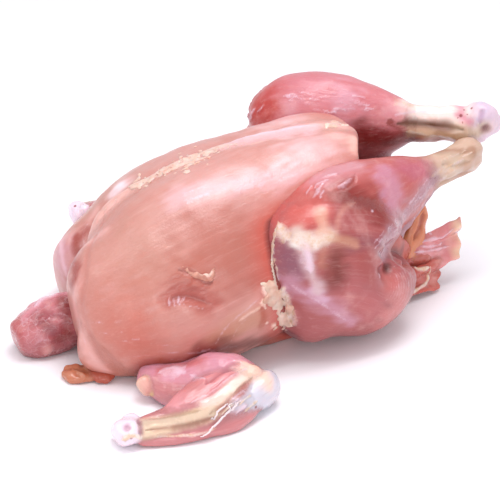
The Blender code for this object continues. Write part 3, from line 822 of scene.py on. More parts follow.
# Wings.
# Upper arm, forearm and the cut wrist of each wing, folded beside the shoulders. Thin
# muscle over bone, with bare cartilage at the elbow and the wrist.
SHOULDER = ((-0.076, -0.056, 0.017), (-0.062, 0.050, 0.026))
ELBOW = ((-0.025, -0.095, 0.012), (-0.014, 0.080, 0.025))
WRIST = ((-0.094, -0.107, 0.0070), (-0.064, 0.084, 0.030))
ARM_LILAC = (214, 156, 170)
ARM_SALMON = (206, 140, 140)
BONE_BEIGE = (230, 206, 182)
CARTILAGE = (214, 210, 220)
wings = []
for side, hand in enumerate(HANDS):
    shoulder, elbow, wrist = SHOULDER[side], ELBOW[side], WRIST[side]
    peg_root = np.asarray(shoulder) + (-0.001, hand * 0.014, -0.004)

    def arm(share, out, lift):
        return between(elbow, wrist, share, lift, hand * out)

    wing_muscles = [
        muscle([
            (between(shoulder, elbow, 0.04, -0.0070, hand * 0.0020), 0.0090, 0.0080),
            (between(shoulder, elbow, 0.40, -0.007, hand * 0.004), 0.017, 0.011),
            (between(shoulder, elbow, 0.75, 0.000, 0), 0.0145, 0.013),
            (between(shoulder, elbow, 1.08, 0.002, 0), 0.011, 0.010),
        ], ARM_LILAC, blunt=2.8, wet=0.9),
        muscle([
            (arm(-0.08, 0, 0), 0.011, 0.009),
            (arm(0.22, 0.003, -0.001), 0.0135, 0.0095),
            (arm(0.52, 0.0045, -0.001), 0.0115, 0.0085),
            (arm(0.80, 0.003, 0), 0.0075, 0.0066),
            (arm(1.02, 0, 0), 0.0066, 0.0062),
        ], (200, 140, 142), blunt=3.6, wet=0.9),
        muscle([
            (arm(-0.06, -0.003, 0.003), 0.0075, 0.0060),
            (arm(0.20, -0.002, 0.0060), 0.0115, 0.0070),
            (arm(0.45, 0.000, 0.0050), 0.0105, 0.0062),
            (arm(0.68, 0.002, 0.0035), 0.0060, 0.0040),
            (arm(0.86, 0.002, 0.0020), 0.0030, 0.0025),
        ], (222, 158, 162), blunt=2.6, wet=1.0),
        muscle([
            (arm(0.10, 0.009, 0.001), 0.0040, 0.0040),
            (arm(0.45, 0.0115, 0.001), 0.0042, 0.0046),
            (arm(0.75, 0.008, 0.001), 0.0040, 0.0044),
            (arm(1.00, 0.003, 0.001), 0.0046, 0.0046),
        ], BONE_BEIGE, blunt=4.0, sides=40, wet=0.7),
        muscle([
            (arm(0.02, 0.010, -0.004), 0.0050, 0.0050),
            (arm(0.30, 0.0140, -0.005), 0.0052, 0.0050),
            (arm(0.62, 0.0120, -0.004), 0.0046, 0.0042),
            (arm(0.95, 0.006, -0.003), 0.0036, 0.0036),
        ], (206, 140, 142), blunt=3.0, sides=40, wet=0.9),
        muscle([
            (arm(-0.16, -0.001, 0.000), 0.0065, 0.0080),
            (arm(0.00, 0.005, -0.001), 0.0080, 0.0090),
            (arm(0.20, 0.012, -0.001), 0.0056, 0.0066),
        ], CARTILAGE, blunt=2.6, sides=48, wet=1.0),
        muscle([
            (arm(0.92, 0.001, 0.001), 0.0080, 0.0062),
            (arm(1.10, 0.000, 0.001), 0.0085, 0.0060),
        ], (242, 224, 234), wet=0.8),
        muscle([
            (arm(0.90, -0.003, 0.003), 0.0042, 0.0048),
            (arm(1.02, -0.003, 0.003), 0.0040, 0.0046),
        ], (244, 226, 238), sides=36, wet=0.8),
        muscle([
            (peg_root + (0.0010, 0.0, 0.0), 0.0036, 0.0040),
            (peg_root + (0.0022, hand * 0.0035, -0.003), 0.0037, 0.0038),
            (peg_root + (0.0040, hand * 0.0070, -0.006), 0.0029, 0.0029),
        ], (234, 196, 176), blunt=3.0, sides=40),
    ]
    wings.append(Flesh(f"wing_{SIDES[side]}", wing_muscles, 0.0006, smooth=8, blur=8))
near_wing, far_wing = wings
for n, wing in enumerate(wings):
    wing.uneven(0.012, 0.0006, 200 + n)
    wing.uneven(0.005, 0.00022, 202 + n)


def paint_wing(wing):
    """Muscle bands, white tendon edge, bone grooves and bare joint ends of one wing, with painted
    highlights on the upper arm and painted shade where it meets the breast.
    """
    wing.brush([(156, 388), (175, 392), (196, 390)], 0.013, ARM_SALMON, 0.9, 210)
    # Painted shade: dark red along the upper arm's edge where it meets the breast.
    wing.brush([(160, 372), (180, 366), (200, 362)], 0.007, (196, 104, 96), 0.6, 211)
    wing.crease([(206, 384), (222, 372), (240, 362)], 0.0035, 0.0014, 214, (180, 104, 112), 0.6)
    # Painted highlights: pale lilac glare on the upper arm.
    wing.mark([(158, 374), (170, 369), (184, 372)], 0.0058, "veil", 0.85, 212, 0, 0.7)
    wing.mark([(190, 374), (198, 378), (205, 380)], 0.0030, "veil", 0.7, 213, 0.0003)
    for n in range(5):
        wing.mark([(190 + 6 * n, 404 - 3 * n), (214 + 6 * n, 390 - 4 * n), (236 + 3 * n, 374 - 2 * n)],
                  0.0016, "veil", 0.55, 215 + n, lift=0.0003)
    wing.crease([(196, 402), (220, 386), (240, 372)], 0.0022, 0.0008, 220, (206, 120, 122), 0.6)
    tendon_edge = [(256, 366), (248, 377), (234, 390), (218, 403), (202, 411), (188, 416)]
    wing.brush(tendon_edge, 0.0046, (246, 216, 186), 0.95, 221, 0.0006)
    wing.brush([(250, 368), (238, 382), (224, 395), (206, 405)], 0.0060, (252, 230, 220), 0.85, 248)
    wing.crease([(252, 378), (240, 391), (226, 404), (210, 414)],
                0.0024, 0.0012, 222, (196, 116, 108), 0.6)
    wing.brush([(246, 368), (260, 374), (268, 386)], 0.0085, (244, 212, 196), 0.95, 223)
    wing.brush([(260, 394), (250, 400), (238, 406)], 0.0075, CARTILAGE, 0.85, 224, 0, 1.0)
    wing.mark(tendon_edge, 0.0022, "cream", 0.45, 247)
    for n, (x, y) in enumerate(((246, 388), (252, 394), (240, 398), (258, 400), (248, 404), (234, 404))):
        wing.mark([(x, y), (x - 8, y + 6), (x - 14, y + 12)], 0.0012, "cream" if n % 2 else "veil",
                  0.9, 225 + n, lift=0.0006)
    wing.brush([(145, 423), (180, 419), (212, 412)], 0.0046, (232, 210, 188), 0.9, 232)
    wing.crease([(146, 419), (180, 414), (200, 411)], 0.0020, 0.0007, 233, (196, 160, 134), 0.6)
    wing.crease([(146, 430), (180, 427), (214, 418)], 0.0024, 0.0012, 234, (188, 142, 120), 0.7)
    wing.brush((118, 430), 0.010, (244, 228, 238), 0.8, 237)
    wing.brush((126, 427), 0.0035, (160, 96, 130), 0.8, 238, -0.0008)
    wing.crease([(138, 420), (141, 428), (140, 436)], 0.0022, 0.0010, 241, (176, 120, 140), 0.7)
    wing.brush((152, 394), 0.0028, (240, 214, 160), 0.9, 242, 0.0004)
    wing.brush((143, 384), 0.0050, (234, 188, 178), 0.8, 243)
    for row in (
        ([(150, 437), (176, 436), (200, 434), (216, 428)], 0.0014, "cream", 0.7, 235, 0.0004),
        ((256, 407), 0.0016, "blood", 0.8, 236),
        ((131, 438), 0.0018, "blood", 0.9, 239, -0.0004),
        ([(122, 440), (132, 436), (142, 438)], 0.0024, "cream", 0.8, 240, 0.0010),
    ):
        wing.mark(*row)


paint_wing(near_wing)
far_wing.twin = near_wing
far_wing.twin_shift = np.asarray(ELBOW[1]) - np.asarray(ELBOW[0]) * (1, -1, 1)
paint_wing(far_wing)
far_wing.twin = None
far_wing.brush((71, 209), 0.010, (240, 222, 236), 0.8, 244)
far_wing.brush((66, 207), 0.0030, (176, 50, 96), 0.9, 245, -0.0006)
far_wing.mark((75, 206), 0.0016, "blood", 0.9, 246)
wing_flesh = flesh_material("wing_flesh", grain=0.9, mottle=0.7, roughness=0.28, coat=0.5)
near_wing.done(wing_flesh)
far_wing.done(wing_flesh)


# Wing strings.
# Torn strings of white connective tissue. They hang from the elbow's cartilage over the
# near forearm, and only their middles stand off the meat.
def tube(name, lines, material, tint, sides=8):
    """Thin round strands along paths, each (points, radius at its middle)."""
    points, faces, start = [], [], 0
    for line, radius in lines:
        tangent = unit(np.gradient(line, axis=0))
        across = unit(np.cross(tangent, [0.2, 0.1, 1.0]))
        upward = np.cross(across, tangent)
        share = np.linspace(0, 1, len(line))
        swell = radius * (0.35 + 0.65 * np.sin(np.pi * np.clip(share, 0.02, 0.98)) ** 0.5)
        turn = 2 * np.pi * np.arange(sides) / sides
        ring = across[:, None] * np.cos(turn)[None, :, None]
        ring = ring + upward[:, None] * np.sin(turn)[None, :, None]
        points.append((line[:, None] + ring * swell[:, None, None]).reshape(-1, 3))
        for n in range(len(line) - 1):
            for k in range(sides):
                a, b = start + n * sides + k, start + n * sides + (k + 1) % sides
                faces.append((a, b, b + sides, a + sides))
        faces.append(tuple(start + k for k in range(sides))[::-1])
        faces.append(tuple(start + (len(line) - 1) * sides + k for k in range(sides)))
        start += len(line) * sides
    made = new_object(name, np.concatenate(points), faces)
    paint = np.ones((start, 4))
    paint[:, :3] = srgb(tint)
    store(made.data, "tint", "FLOAT_COLOR", paint)
    store(made.data, "wet", "FLOAT", np.full(start, 0.9))
    finished(made, material)


strings = []
for n, pixels in enumerate((
    [(232, 404), (222, 416), (210, 430), (200, 436)],
    [(236, 402), (226, 412), (214, 428)],
    [(228, 404), (219, 412), (211, 420)],
    [(240, 400), (232, 408), (224, 414)],
)):
    line = near_wing.path(pixels, 0.0006)
    lifted = np.array([np.array(near_wing.tree.find_nearest(Vector(p))[1]) for p in line])
    rise = 0.0004 + 0.0009 * np.sin(np.pi * np.linspace(0, 1, len(line)))[:, None]
    strings.append((line + lifted * rise, 0.00035 if n % 2 else 0.00050))
tube("wing_strings", strings, wing_flesh, (236, 216, 218))


# Neck stub.
# The muscle round the neck bones that is left in front of the shoulders, cut square. A
# net of thin pale fascia lies over it, and the cut end shows the spine. Its top is painted
# lighter with a highlight streak, and its lower side and its join with the breast darker as shade.
NECK_ROOT = (-0.080, -0.004, 0.020)
NECK_END = (-0.113, -0.006, 0.0125)
neck = Flesh("neck_stub", [muscle([
    (between(NECK_END, NECK_ROOT, -0.35), 0.0125, 0.0130),
    (between(NECK_END, NECK_ROOT, 0.15), 0.0145, 0.0150),
    (between(NECK_END, NECK_ROOT, 0.70), 0.0145, 0.0145),
    (between(NECK_END, NECK_ROOT, 1.25), 0.0150, 0.0150),
], (198, 128, 134), blunt=3.4, wet=0.8)], 0.0006, smooth=6)
neck.uneven(0.016, 0.0009, 250)
neck.uneven(0.006, 0.0004, 251)
# Painted shade: darker red low on the neck.
neck_low_shade = np.clip((0.016 - neck.points[:, 2]) / 0.012, 0, 1)
neck.stain((168, 92, 96), neck_low_shade * 0.8)
for row in (
    # Painted light on the top, painted shade low down and where the neck meets the breast.
    ([(24, 312), (40, 300), (58, 294)], 0.008, (224, 164, 176), 0.8, 252),
    ([(40, 318), (50, 330), (60, 340)], 0.009, (146, 68, 76), 0.8, 253),
    ([(62, 300), (66, 318), (68, 336)], 0.006, (150, 66, 66), 0.8, 259),
):
    neck.brush(*row)
# Painted highlight: a pale lilac streak along the top.
neck.mark([(34, 306), (46, 299), (58, 294)], 0.0034, "veil", 0.9, 254, 0.0003, 0.8)
for n, pixels in enumerate((
    [(24, 322), (36, 312), (50, 306)],
    [(20, 334), (32, 326), (44, 322)],
    [(44, 322), (54, 314), (68, 316)],
    [(32, 346), (44, 340), (58, 342)],
)):
    neck.mark(pixels, 0.0011, "veil", 0.50, 255 + n, lift=0.0003)
neck.crease([(36, 318), (48, 316), (62, 318)], 0.0030, 0.0012, 260, (176, 96, 104), 0.7)
neck.brush((48, 350), 0.004, (230, 180, 176), 0.7, 261, lift=0.0006)
spine_end = np.clip((-0.1365 - neck.points[:, 0]) / 0.001, 0, 1)
neck.stain((186, 104, 104), spine_end * 0.6)
neck_flesh = flesh_material("neck_flesh", grain=0.8, mottle=1.4, roughness=0.32, coat=0.35, net=0.22)
neck.done(neck_flesh)


# Crop fat.
# A thin tongue of yellow-brown fat and membrane. It hangs from the breast beside the
# neck and lies on the table.
crop = Flesh("crop_fat", [
    muscle([
        (np.asarray(NECK_END) + (0.006, -0.029, -0.0085), 0.0035, 0.0025),
        (np.asarray(NECK_END) + (0.013, -0.034, -0.0085), 0.0080, 0.0035),
        (np.asarray(NECK_END) + (0.022, -0.040, -0.0090), 0.0050, 0.0030),
    ], (200, 134, 104), sides=48, rings=40, wet=0.9),
    muscle([
        (np.asarray(NECK_END) + (0.018, -0.036, -0.0075), 0.0050, 0.0035),
        (np.asarray(NECK_END) + (0.025, -0.041, -0.0085), 0.0060, 0.0030),
        (np.asarray(NECK_END) + (0.030, -0.041, -0.0075), 0.0040, 0.0035),
    ], (186, 100, 80), sides=48, rings=40, wet=0.9),
], 0.0005, smooth=4)
crop.uneven(0.009, 0.0010, 262)
crop.uneven(0.004, 0.0005, 265)
crop.mark([(72, 368), (80, 372), (86, 378)], 0.0020, "cream", 0.40, 263, lift=0.0004)
crop.brush((72, 374), 0.005, (206, 140, 112), 0.7, 264)
scrap_flesh = flesh_material("scrap_flesh", grain=0.5, mottle=1.2, roughness=0.30, coat=0.4)
crop.done(scrap_flesh)


# Tail.
# The pelvis end with its stump, in red meat, and the strip of orange fat that stands
# beside the vent. Both grow out of the end of the torso.
TAIL_ROOT = np.array([0.098, -0.002, 0.018])
tail = Flesh("tail_stump", [
    muscle([
        (TAIL_ROOT + (-0.022, 0, 0), 0.018, 0.016),
        (TAIL_ROOT, 0.016, 0.016),
        (TAIL_ROOT + (0.016, 0, -0.003), 0.010, 0.010),
    ], (196, 108, 96), blunt=2.2, wet=0.9),
    muscle([
        (TAIL_ROOT + (-0.010, -0.012, 0.004), 0.006, 0.010),
        (TAIL_ROOT + (0.000, -0.010, 0.018), 0.004, 0.0075),
        (TAIL_ROOT + (0.005, -0.008, 0.034), 0.003, 0.004),
    ], (220, 148, 112), blunt=3.0, sides=40, rings=40, wet=0.9),
], 0.0006, smooth=5)
tail.uneven(0.012, 0.0010, 270)
tail.uneven(0.005, 0.0004, 271)
tail.mark([(431, 198), (434, 212), (436, 226)], 0.0020, "cream", 0.6, 272, lift=0.0004)
tail.crease([(424, 212), (422, 226), (414, 240)], 0.0030, 0.0012, 273, (160, 66, 48), 0.7)
tail.done(scrap_flesh)


# Vent flap.
# A ragged fan of skin and membrane left by gutting. It grows from the tail stump,
# stands out behind the bird in folds, and has a pale fatty rim.
def membrane(corners, rows, columns, fold, bow, edge, seed):
    """Points and faces of a wavy sheet: corners are (root top, root low), (rim top, rim low)."""
    u, v = np.meshgrid(np.linspace(0, 1, rows), np.linspace(0, 1, columns), indexing="ij")
    edge_noise = wobble(np.stack([v, v * 0, v * 0], -1).reshape(-1, 3), 0.30, seed).reshape(v.shape)
    side_noise = wobble(np.stack([u * 0, u, u * 0], -1).reshape(-1, 3), 0.40, seed + 1).reshape(u.shape)
    out = u * (1 + edge * edge_noise * u + bow * np.sin(np.pi * v))
    down = 0.5 + (v - 0.5) * (1 + 0.10 * side_noise + 0.10 * np.sin(np.pi * u))
    corners = np.asarray(corners) + BIRD_SHIFT
    sheet = sum((a * b)[..., None] * corners[row, end]
                for row, a in enumerate((1 - out, out)) for end, b in enumerate((1 - down, down)))
    wave = fold * np.sin(2.0 * np.pi * down + 1.4 * out)
    wave += 0.45 * fold * np.sin(5.1 * np.pi * down - 2.4 * out)
    wave += 0.5 * fold * wobble(sheet.reshape(-1, 3), 0.010, seed + 2).reshape(u.shape)
    facing = unit(np.array([0.25, -1.0, 0.30]))
    sheet = sheet + wave[..., None] * facing * (0.3 + 0.8 * u)[..., None]
    faces = [(a * columns + b, a * columns + b + 1, (a + 1) * columns + b + 1, (a + 1) * columns + b)
             for a in range(rows - 1) for b in range(columns - 1)]
    return sheet.reshape(-1, 3), faces, u.ravel(), v.ravel()


FLAP_LOBES = (
    (((0.0900, -0.016, 0.030), (0.0900, -0.022, 0.014)),
     ((0.1275, -0.004, 0.0385), (0.1260, -0.009, 0.0150)),
     0.0022, 0.03, 0.05, 0.0020, (222, 150, 152)),
    (((0.0840, -0.026, 0.021), (0.0840, -0.028, 0.008)),
     ((0.1140, -0.012, 0.0180), (0.1090, -0.017, 0.0035)),
     0.0018, 0.05, 0.07, 0.0022, (200, 106, 92)),
)
flap_pieces = []
for n, (root, rim, fold, bow, edge, thickness, tint) in enumerate(FLAP_LOBES):
    made = membrane((root, rim), 80, 60, fold, bow, edge, 280 + 10 * n)
    sheet_points, sheet_faces, share_out, share_down = made
    sheet = new_object("vent_flap_sheet", sheet_points, sheet_faces)
    thick = sheet.modifiers.new("thick", "SOLIDIFY")
    thick.thickness = thickness
    thick.offset = 0.0
    mesh = applied(sheet)
    flat = np.empty(len(mesh.vertices) * 3)
    mesh.vertices.foreach_get("co", flat)
    straight = np.stack([share_down * 0.02, share_down * 0, share_out * 0.03], 1)
    flap_pieces.append({
        "points": flat.reshape(-1, 3),
        "faces": [tuple(face.vertices) for face in mesh.polygons],
        "straight": np.concatenate([straight, straight]),
        "tint": srgb(tint),
        "wet": 1.0,
    })
    bpy.data.objects.remove(sheet, do_unlink=True)
vent_flap = Flesh("vent_flap", flap_pieces, 0.0005, smooth=6, blur=10)
design_x = vent_flap.points[:, 0] - BIRD_SHIFT[0]
rim_noise = 0.5 + 0.5 * wobble(vent_flap.points, 0.006, 283)
far_out = np.clip((design_x - 0.1185) / 0.006, 0, 1) * np.clip(rim_noise + 0.2, 0, 1)
vent_flap.stain((238, 206, 180), far_out)
near_root = np.clip((0.104 - design_x) / 0.012, 0, 1)
vent_flap.stain((190, 92, 80), near_root * 0.8)
vent_flap.uneven(0.006, 0.0004, 284)
# Painted highlights: pale lilac glints on the folds of the upper lobe.
for n, pixels in enumerate((
    [(412, 246), (428, 240), (444, 236), (454, 228)],
    [(414, 252), (432, 250), (450, 246)],
    [(430, 234), (440, 226), (452, 220)],
    [(420, 246), (432, 246), (442, 242)],
)):
    vent_flap.mark(pixels, 0.0016, "veil", 0.85, 285 + n, lift=0.0006)
vent_flap.crease([(398, 258), (412, 260), (428, 258)], 0.0026, 0.0014, 291, (170, 70, 62), 0.8)
vent_flap.mark([(396, 262), (406, 267), (418, 269), (430, 267)], 0.0018, "cream", 0.85, 289, 0.0006)
vent_flap.mark([(430, 268), (428, 280), (420, 288), (408, 294)], 0.0020, "cream", 0.85, 290, 0.0005)
flap_flesh = flesh_material("flap_flesh", grain=0.5, mottle=1.0, roughness=0.26, coat=0.6, inner=0.25)
vent_flap.done(flap_flesh)


# Torso.
# The rib cage and back under the two big breast muscles, with the keel bone's ridge
# between them. Muscle and membrane, skinned, gutted through the opening behind the
# breastbone. Painted shade darkens it to orange and red where the legs, wings and neck
# meet it, and to dark red inside the hollow.
BREAST_FRONT_X = -0.099
BREAST_LENGTH = 0.186
BREAST_SET_BACK = (0.0, 0.008)
BREAST_SAG = (0.001, 0.016)
BREAST_PINK = (206, 148, 138)
BACK_PINK = (196, 132, 118)
KEEL_PINK = (236, 190, 182)

torso_muscles = [muscle([
    ((-0.084, 0, 0.030), 0.038, 0.028),
    ((-0.035, 0, 0.033), 0.048, 0.035),
    ((0.020, 0, 0.036), 0.050, 0.038),
    ((0.070, 0, 0.030), 0.041, 0.032),
    ((0.102, 0, 0.022), 0.010, 0.014),
], BACK_PINK, blunt=3.4, square=2.8)]
for side, hand in enumerate(HANDS):
    front_x = BREAST_FRONT_X + BREAST_SET_BACK[side]
    sections = (
        (0.030, 0.033, 0.031, 0.040, 34),
        (0.030, 0.037, 0.036, 0.048, 36),
        (0.028, 0.049, 0.037, 0.050, 36),
        (0.022, 0.060, 0.032, 0.047, 34),
        (0.017, 0.074, 0.026, 0.034, 35),
        (0.014, 0.078, 0.020, 0.024, 35),
    )
    step = (BREAST_FRONT_X + BREAST_LENGTH - front_x) / (len(sections) - 1)
    torso_muscles.append(muscle([
        ((front_x + step * n, hand * y, z - BREAST_SAG[side] * max(1 - n / 4, 0)),
         width, depth, hand * roll)
        for n, (y, z, width, depth, roll) in enumerate(sections)
    ], BREAST_PINK, blunt=3.0, square=2.2, sides=110, rings=80))
    shoulder_x = -0.104 + 2 * BREAST_SET_BACK[side]
    shoulder_z = 0.015 + BREAST_SET_BACK[side] / 2
    torso_muscles.append(muscle([
        ((shoulder_x + 0.004, hand * 0.040, shoulder_z + 0.005), 0.012, 0.019),
        ((shoulder_x + 0.028, hand * 0.044, 0.021), 0.0145, 0.021),
        ((-0.048, hand * 0.045, 0.023), 0.015, 0.021),
        ((-0.010, hand * 0.043, 0.030), 0.012, 0.018),
    ], BREAST_PINK, blunt=2.8))
    torso_muscles.append(muscle([
        ((-0.060, hand * 0.034, 0.016), 0.009, 0.010),
        ((-0.030, hand * 0.036, 0.014), 0.012, 0.013),
        ((0.005, hand * 0.037, 0.014), 0.012, 0.014),
        ((0.040, hand * 0.034, 0.014), 0.010, 0.012),
    ], (176, 118, 98)))
KEEL_Y = 0.0006
torso_muscles.append(muscle([
    ((-0.082, KEEL_Y, 0.054), 0.003, 0.004),
    ((-0.066, KEEL_Y, 0.069), 0.007, 0.009),
    ((-0.030, KEEL_Y, 0.083), 0.007, 0.010),
    ((0.010, KEEL_Y, 0.092), 0.007, 0.010),
    ((0.048, KEEL_Y, 0.095), 0.007, 0.009),
    ((0.080, KEEL_Y, 0.086), 0.007, 0.008),
], KEEL_PINK, blunt=3.0, sides=40, rings=60))

hollow = muscle([
    ((-0.030, -0.0008, 0.052), 0.0216, 0.018),
    ((0.030, -0.0008, 0.056), 0.027, 0.025),
    ((0.085, -0.0008, 0.052), 0.027, 0.026),
    ((0.150, -0.0008, 0.060), 0.027, 0.026),
], BACK_PINK, blunt=3.0)
cavity_cutter = new_object("cavity_cutter", hollow["points"], hollow["faces"])
opening_plan = [(0.160, -0.060), (0.160, 0.060), (0.046, 0.060), (0.067, 0.0), (0.046, -0.060)]
opening_points = [np.array([x, y, z]) + BIRD_SHIFT for z in (0.062, 0.142) for x, y in opening_plan]
opening_faces = [(4, 3, 2, 1, 0), (5, 6, 7, 8, 9)]
opening_faces += [(n, (n + 1) % 5, 5 + (n + 1) % 5, 5 + n) for n in range(5)]
opening_cutter = new_object("opening_cutter", opening_points, opening_faces)

torso = Flesh("torso", torso_muscles, 0.0012, smooth=14, cutters=(cavity_cutter, opening_cutter), blur=20)
near_shoulder = torso.within((-0.10, -0.045, 0.02), 0.075)
far_shoulder = torso.within((-0.09, 0.065, 0.02), 0.07)
torso.fill(140, np.maximum(near_shoulder, far_shoulder))
torso.fill(40, torso.within((-0.105, 0.0094, 0.052), 0.034))
torso.fill(25, 0.5)
torso.uneven(0.030, 0.0007, 11)
torso.uneven(0.011, 0.00025, 12)
hollow_line = spline([np.array(p) + BIRD_SHIFT for p in
                      ((-0.030, 0, 0.052), (0.030, 0, 0.056), (0.085, 0, 0.052), (0.120, 0, 0.056))],
                     np.linspace(0, 1, 60))
to_hollow = np.min(np.linalg.norm(torso.points[:, None] - hollow_line[None, ::3], axis=2), axis=1)
in_hollow = np.clip((0.033 - to_hollow) / 0.004, 0, 1)
# Painted shade: the inside of the hollow is stained dark red.
torso.stain((118, 40, 34), in_hollow)
torso.wet += (0.9 - torso.wet) * in_hollow

pelvis_end = np.clip((torso.points[:, 0] - BIRD_SHIFT[0] - 0.078) / 0.010, 0, 1)
pelvis_end *= torso.points[:, 2] < 0.06
torso.stain((196, 100, 84), pelvis_end * 0.9)
torso.wet += (0.95 - torso.wet) * pelvis_end

BEIGE = (202, 150, 136)
SALMON = (202, 128, 112)
PALE_PINK = (232, 182, 176)
CREASE_SHADE_ORANGE = (200, 92, 74)
CREASE_SHADE_RED = (122, 26, 18)
NEAR_BOTTOM_EDGE = [(104, 372), (118, 382), (150, 384), (185, 372), (210, 356)]
NEAR_FRONT_RIM = [(96, 212), (84, 240), (76, 275), (74, 310), (86, 345), (104, 372)]
FAR_STRIP = [(120, 186), (170, 150), (235, 118), (300, 104)]
KEEL_RIDGE = [(225, 146), (270, 134), (310, 127), (352, 122)]
for row in (
    ((150, 250), 0.050, BEIGE, 0.8, 21),
    # Lighter upper breast: partly its own paler tone, partly painted light where it faces the lights.
    ((215, 196), 0.045, (214, 168, 162), 0.8, 22),
    ((236, 252), 0.040, (178, 100, 84), 0.75, 23),
    ((120, 330), 0.042, SALMON, 0.7, 24),
    ((216, 238), 0.030, (190, 116, 98), 0.45, 28),
    ((140, 340), 0.022, (204, 116, 98), 0.7, 34),
    ((195, 345), 0.028, (216, 156, 146), 0.7, 25),
    ((310, 150), 0.034, (232, 196, 198), 0.85, 26),
    (NEAR_BOTTOM_EDGE, 0.013, (198, 124, 106), 0.8, 27),
):
    torso.brush(*row, mirror=True)
torso.brush(FAR_STRIP, 0.014, (252, 232, 238), 0.95, 29)
torso.brush(KEEL_RIDGE, 0.010, (244, 198, 202), 0.9, 30)
torso.brush(NEAR_FRONT_RIM, 0.007, PALE_PINK, 0.7, 31, mirror=True)
torso.crease([(x + 8, y) for x, y in NEAR_FRONT_RIM],
             0.003, 0.0004, 33, (198, 126, 114), 0.4, mirror=True)
torso.mark(NEAR_FRONT_RIM, 0.0012, "veil", 0.40, 32, mirror=True)
# Painted highlight: a pale lilac line along the keel ridge.
torso.mark([(x, y - 2) for x, y in KEEL_RIDGE], 0.0030, "veil", 0.9, 35, 0.0002)
# Painted highlight: a pale lilac glare band along the upper breast, streaked along the fibres.
GLARE_BAND = [(176, 197), (204, 191), (236, 184), (266, 179), (294, 176)]
torso.brush(GLARE_BAND, 0.012, (238, 204, 212), 0.50, 36)
for n in range(16):
    x = 176 + 7 * n
    y = 198 - 0.19 * (x - 176) + 5 * math.sin(2.1 * n)
    torso.mark([(x, y), (x + 9, y - 2), (x + 18, y - 5)], 0.0015, "veil", 0.5, 400 + n, rough=0.8)
torso.brush((60, 255), 0.020, (214, 160, 168), 0.9, 37)
# Painted shade: dark red in the cleft between the near and far breast lobes.
FAR_LOBE_WEDGE = [(84, 234), (78, 250), (74, 268), (71, 284)]
torso.brush(FAR_LOBE_WEDGE, 0.0075, (168, 66, 48), 0.9, 38)
torso.brush([(62, 238), (62, 256), (66, 274)], 0.0040, (236, 196, 206), 0.7, 39)

# The nick in the breast: a torn pale lip over a red, wet hollow, with painted shade under the lip and
# painted glints in the hollow.
NICK_LIP = [(180, 266), (190, 269), (199, 275), (208, 280), (214, 277), (214, 270)]
NICK_HOLLOW = [(170, 299), (182, 297), (196, 299), (210, 304)]
torso.brush((188, 288), 0.020, (186, 104, 84), 0.7, 40, mirror=True)
# Painted shade: a dark red furrow and patch under the lip.
torso.crease([(x - 1, y + 4) for x, y in NICK_LIP[:5]], 0.0026, 0.0012, 41, (170, 84, 70), 0.75)
torso.brush([(176, 290), (190, 288), (202, 291)], 0.0065, (164, 66, 48), 0.8, 42)
torso.brush(NICK_HOLLOW, 0.010, (180, 80, 64), 0.75, 43, -0.0010, 0.9)
torso.crease(NICK_HOLLOW, 0.0026, 0.0010, 44, (160, 66, 54), 0.6)
# Painted highlights: small pale lilac glints in the wet hollow.
for n, x in enumerate((170, 174, 179, 184)):
    torso.mark([(x, 297), (x - 1, 302), (x + 1, 307)], 0.0011, "veil", 0.8, 420 + n, lift=0.0003)
torso.mark([(186, 306), (196, 307), (204, 309)], 0.0009, "veil", 0.8, 46, lift=0.0003)

# White connective tissue that runs from the armpit up to the leg, and fine pale streaks along the fibres
# that are partly painted wet highlights.
NEAR_FASCIA_LINE = [(262, 296), (246, 311), (228, 326), (214, 346), (206, 370)]
torso.brush(NEAR_FASCIA_LINE, 0.0065, (222, 172, 164), 0.65, 47, mirror=True)
torso.mark(NEAR_FASCIA_LINE, 0.0012, "veil", 0.55, 48, mirror=True)
torso.mark([(252, 314), (236, 332), (228, 350)], 0.0012, "veil", 0.45, 49, mirror=True)
for n, (x, y, reach) in enumerate(((150, 344, 46), (158, 352, 60), (170, 360, 40), (196, 348, 44),
                                   (120, 356, 34), (140, 368, 40), (205, 362, 26), (110, 340, 30),
                                   (88, 322, 40), (96, 332, 30))):
    torso.mark([(x, y), (x + reach / 2, y + 2 - n % 3), (x + reach, y - 1)], 0.0010, "veil", 0.55, 50 + n,
               mirror=True)
# Painted highlights: short pale lilac streaks in the glare on the upper breast and on the wet lower
# breast.
for n, (x, y, reach) in enumerate(((180, 194, 14), (190, 199, 12), (200, 196, 10), (186, 203, 9),
                                   (206, 362, 12), (200, 352, 10), (196, 366, 8))):
    torso.mark([(x, y), (x + reach / 2, y - 1), (x + reach, y - 3)], 0.0016, "veil", 0.75, 60 + n)
torso.brush((160, 362), 0.0045, (196, 118, 66), 0.8, 69)
torso.mark((160, 363), 0.0024, "blood", 0.40, 68)
torso.mark((164, 370), 0.0020, "cream", 0.7, 70, 0.0005)
SPECKS = ((97, 333), (101, 338), (128, 300), (156, 246), (152, 226), (236, 352), (140, 238))
for n, pixel in enumerate(SPECKS):
    torso.mark(pixel, 0.0009, "blood", 0.55, 71 + n, mirror=True)

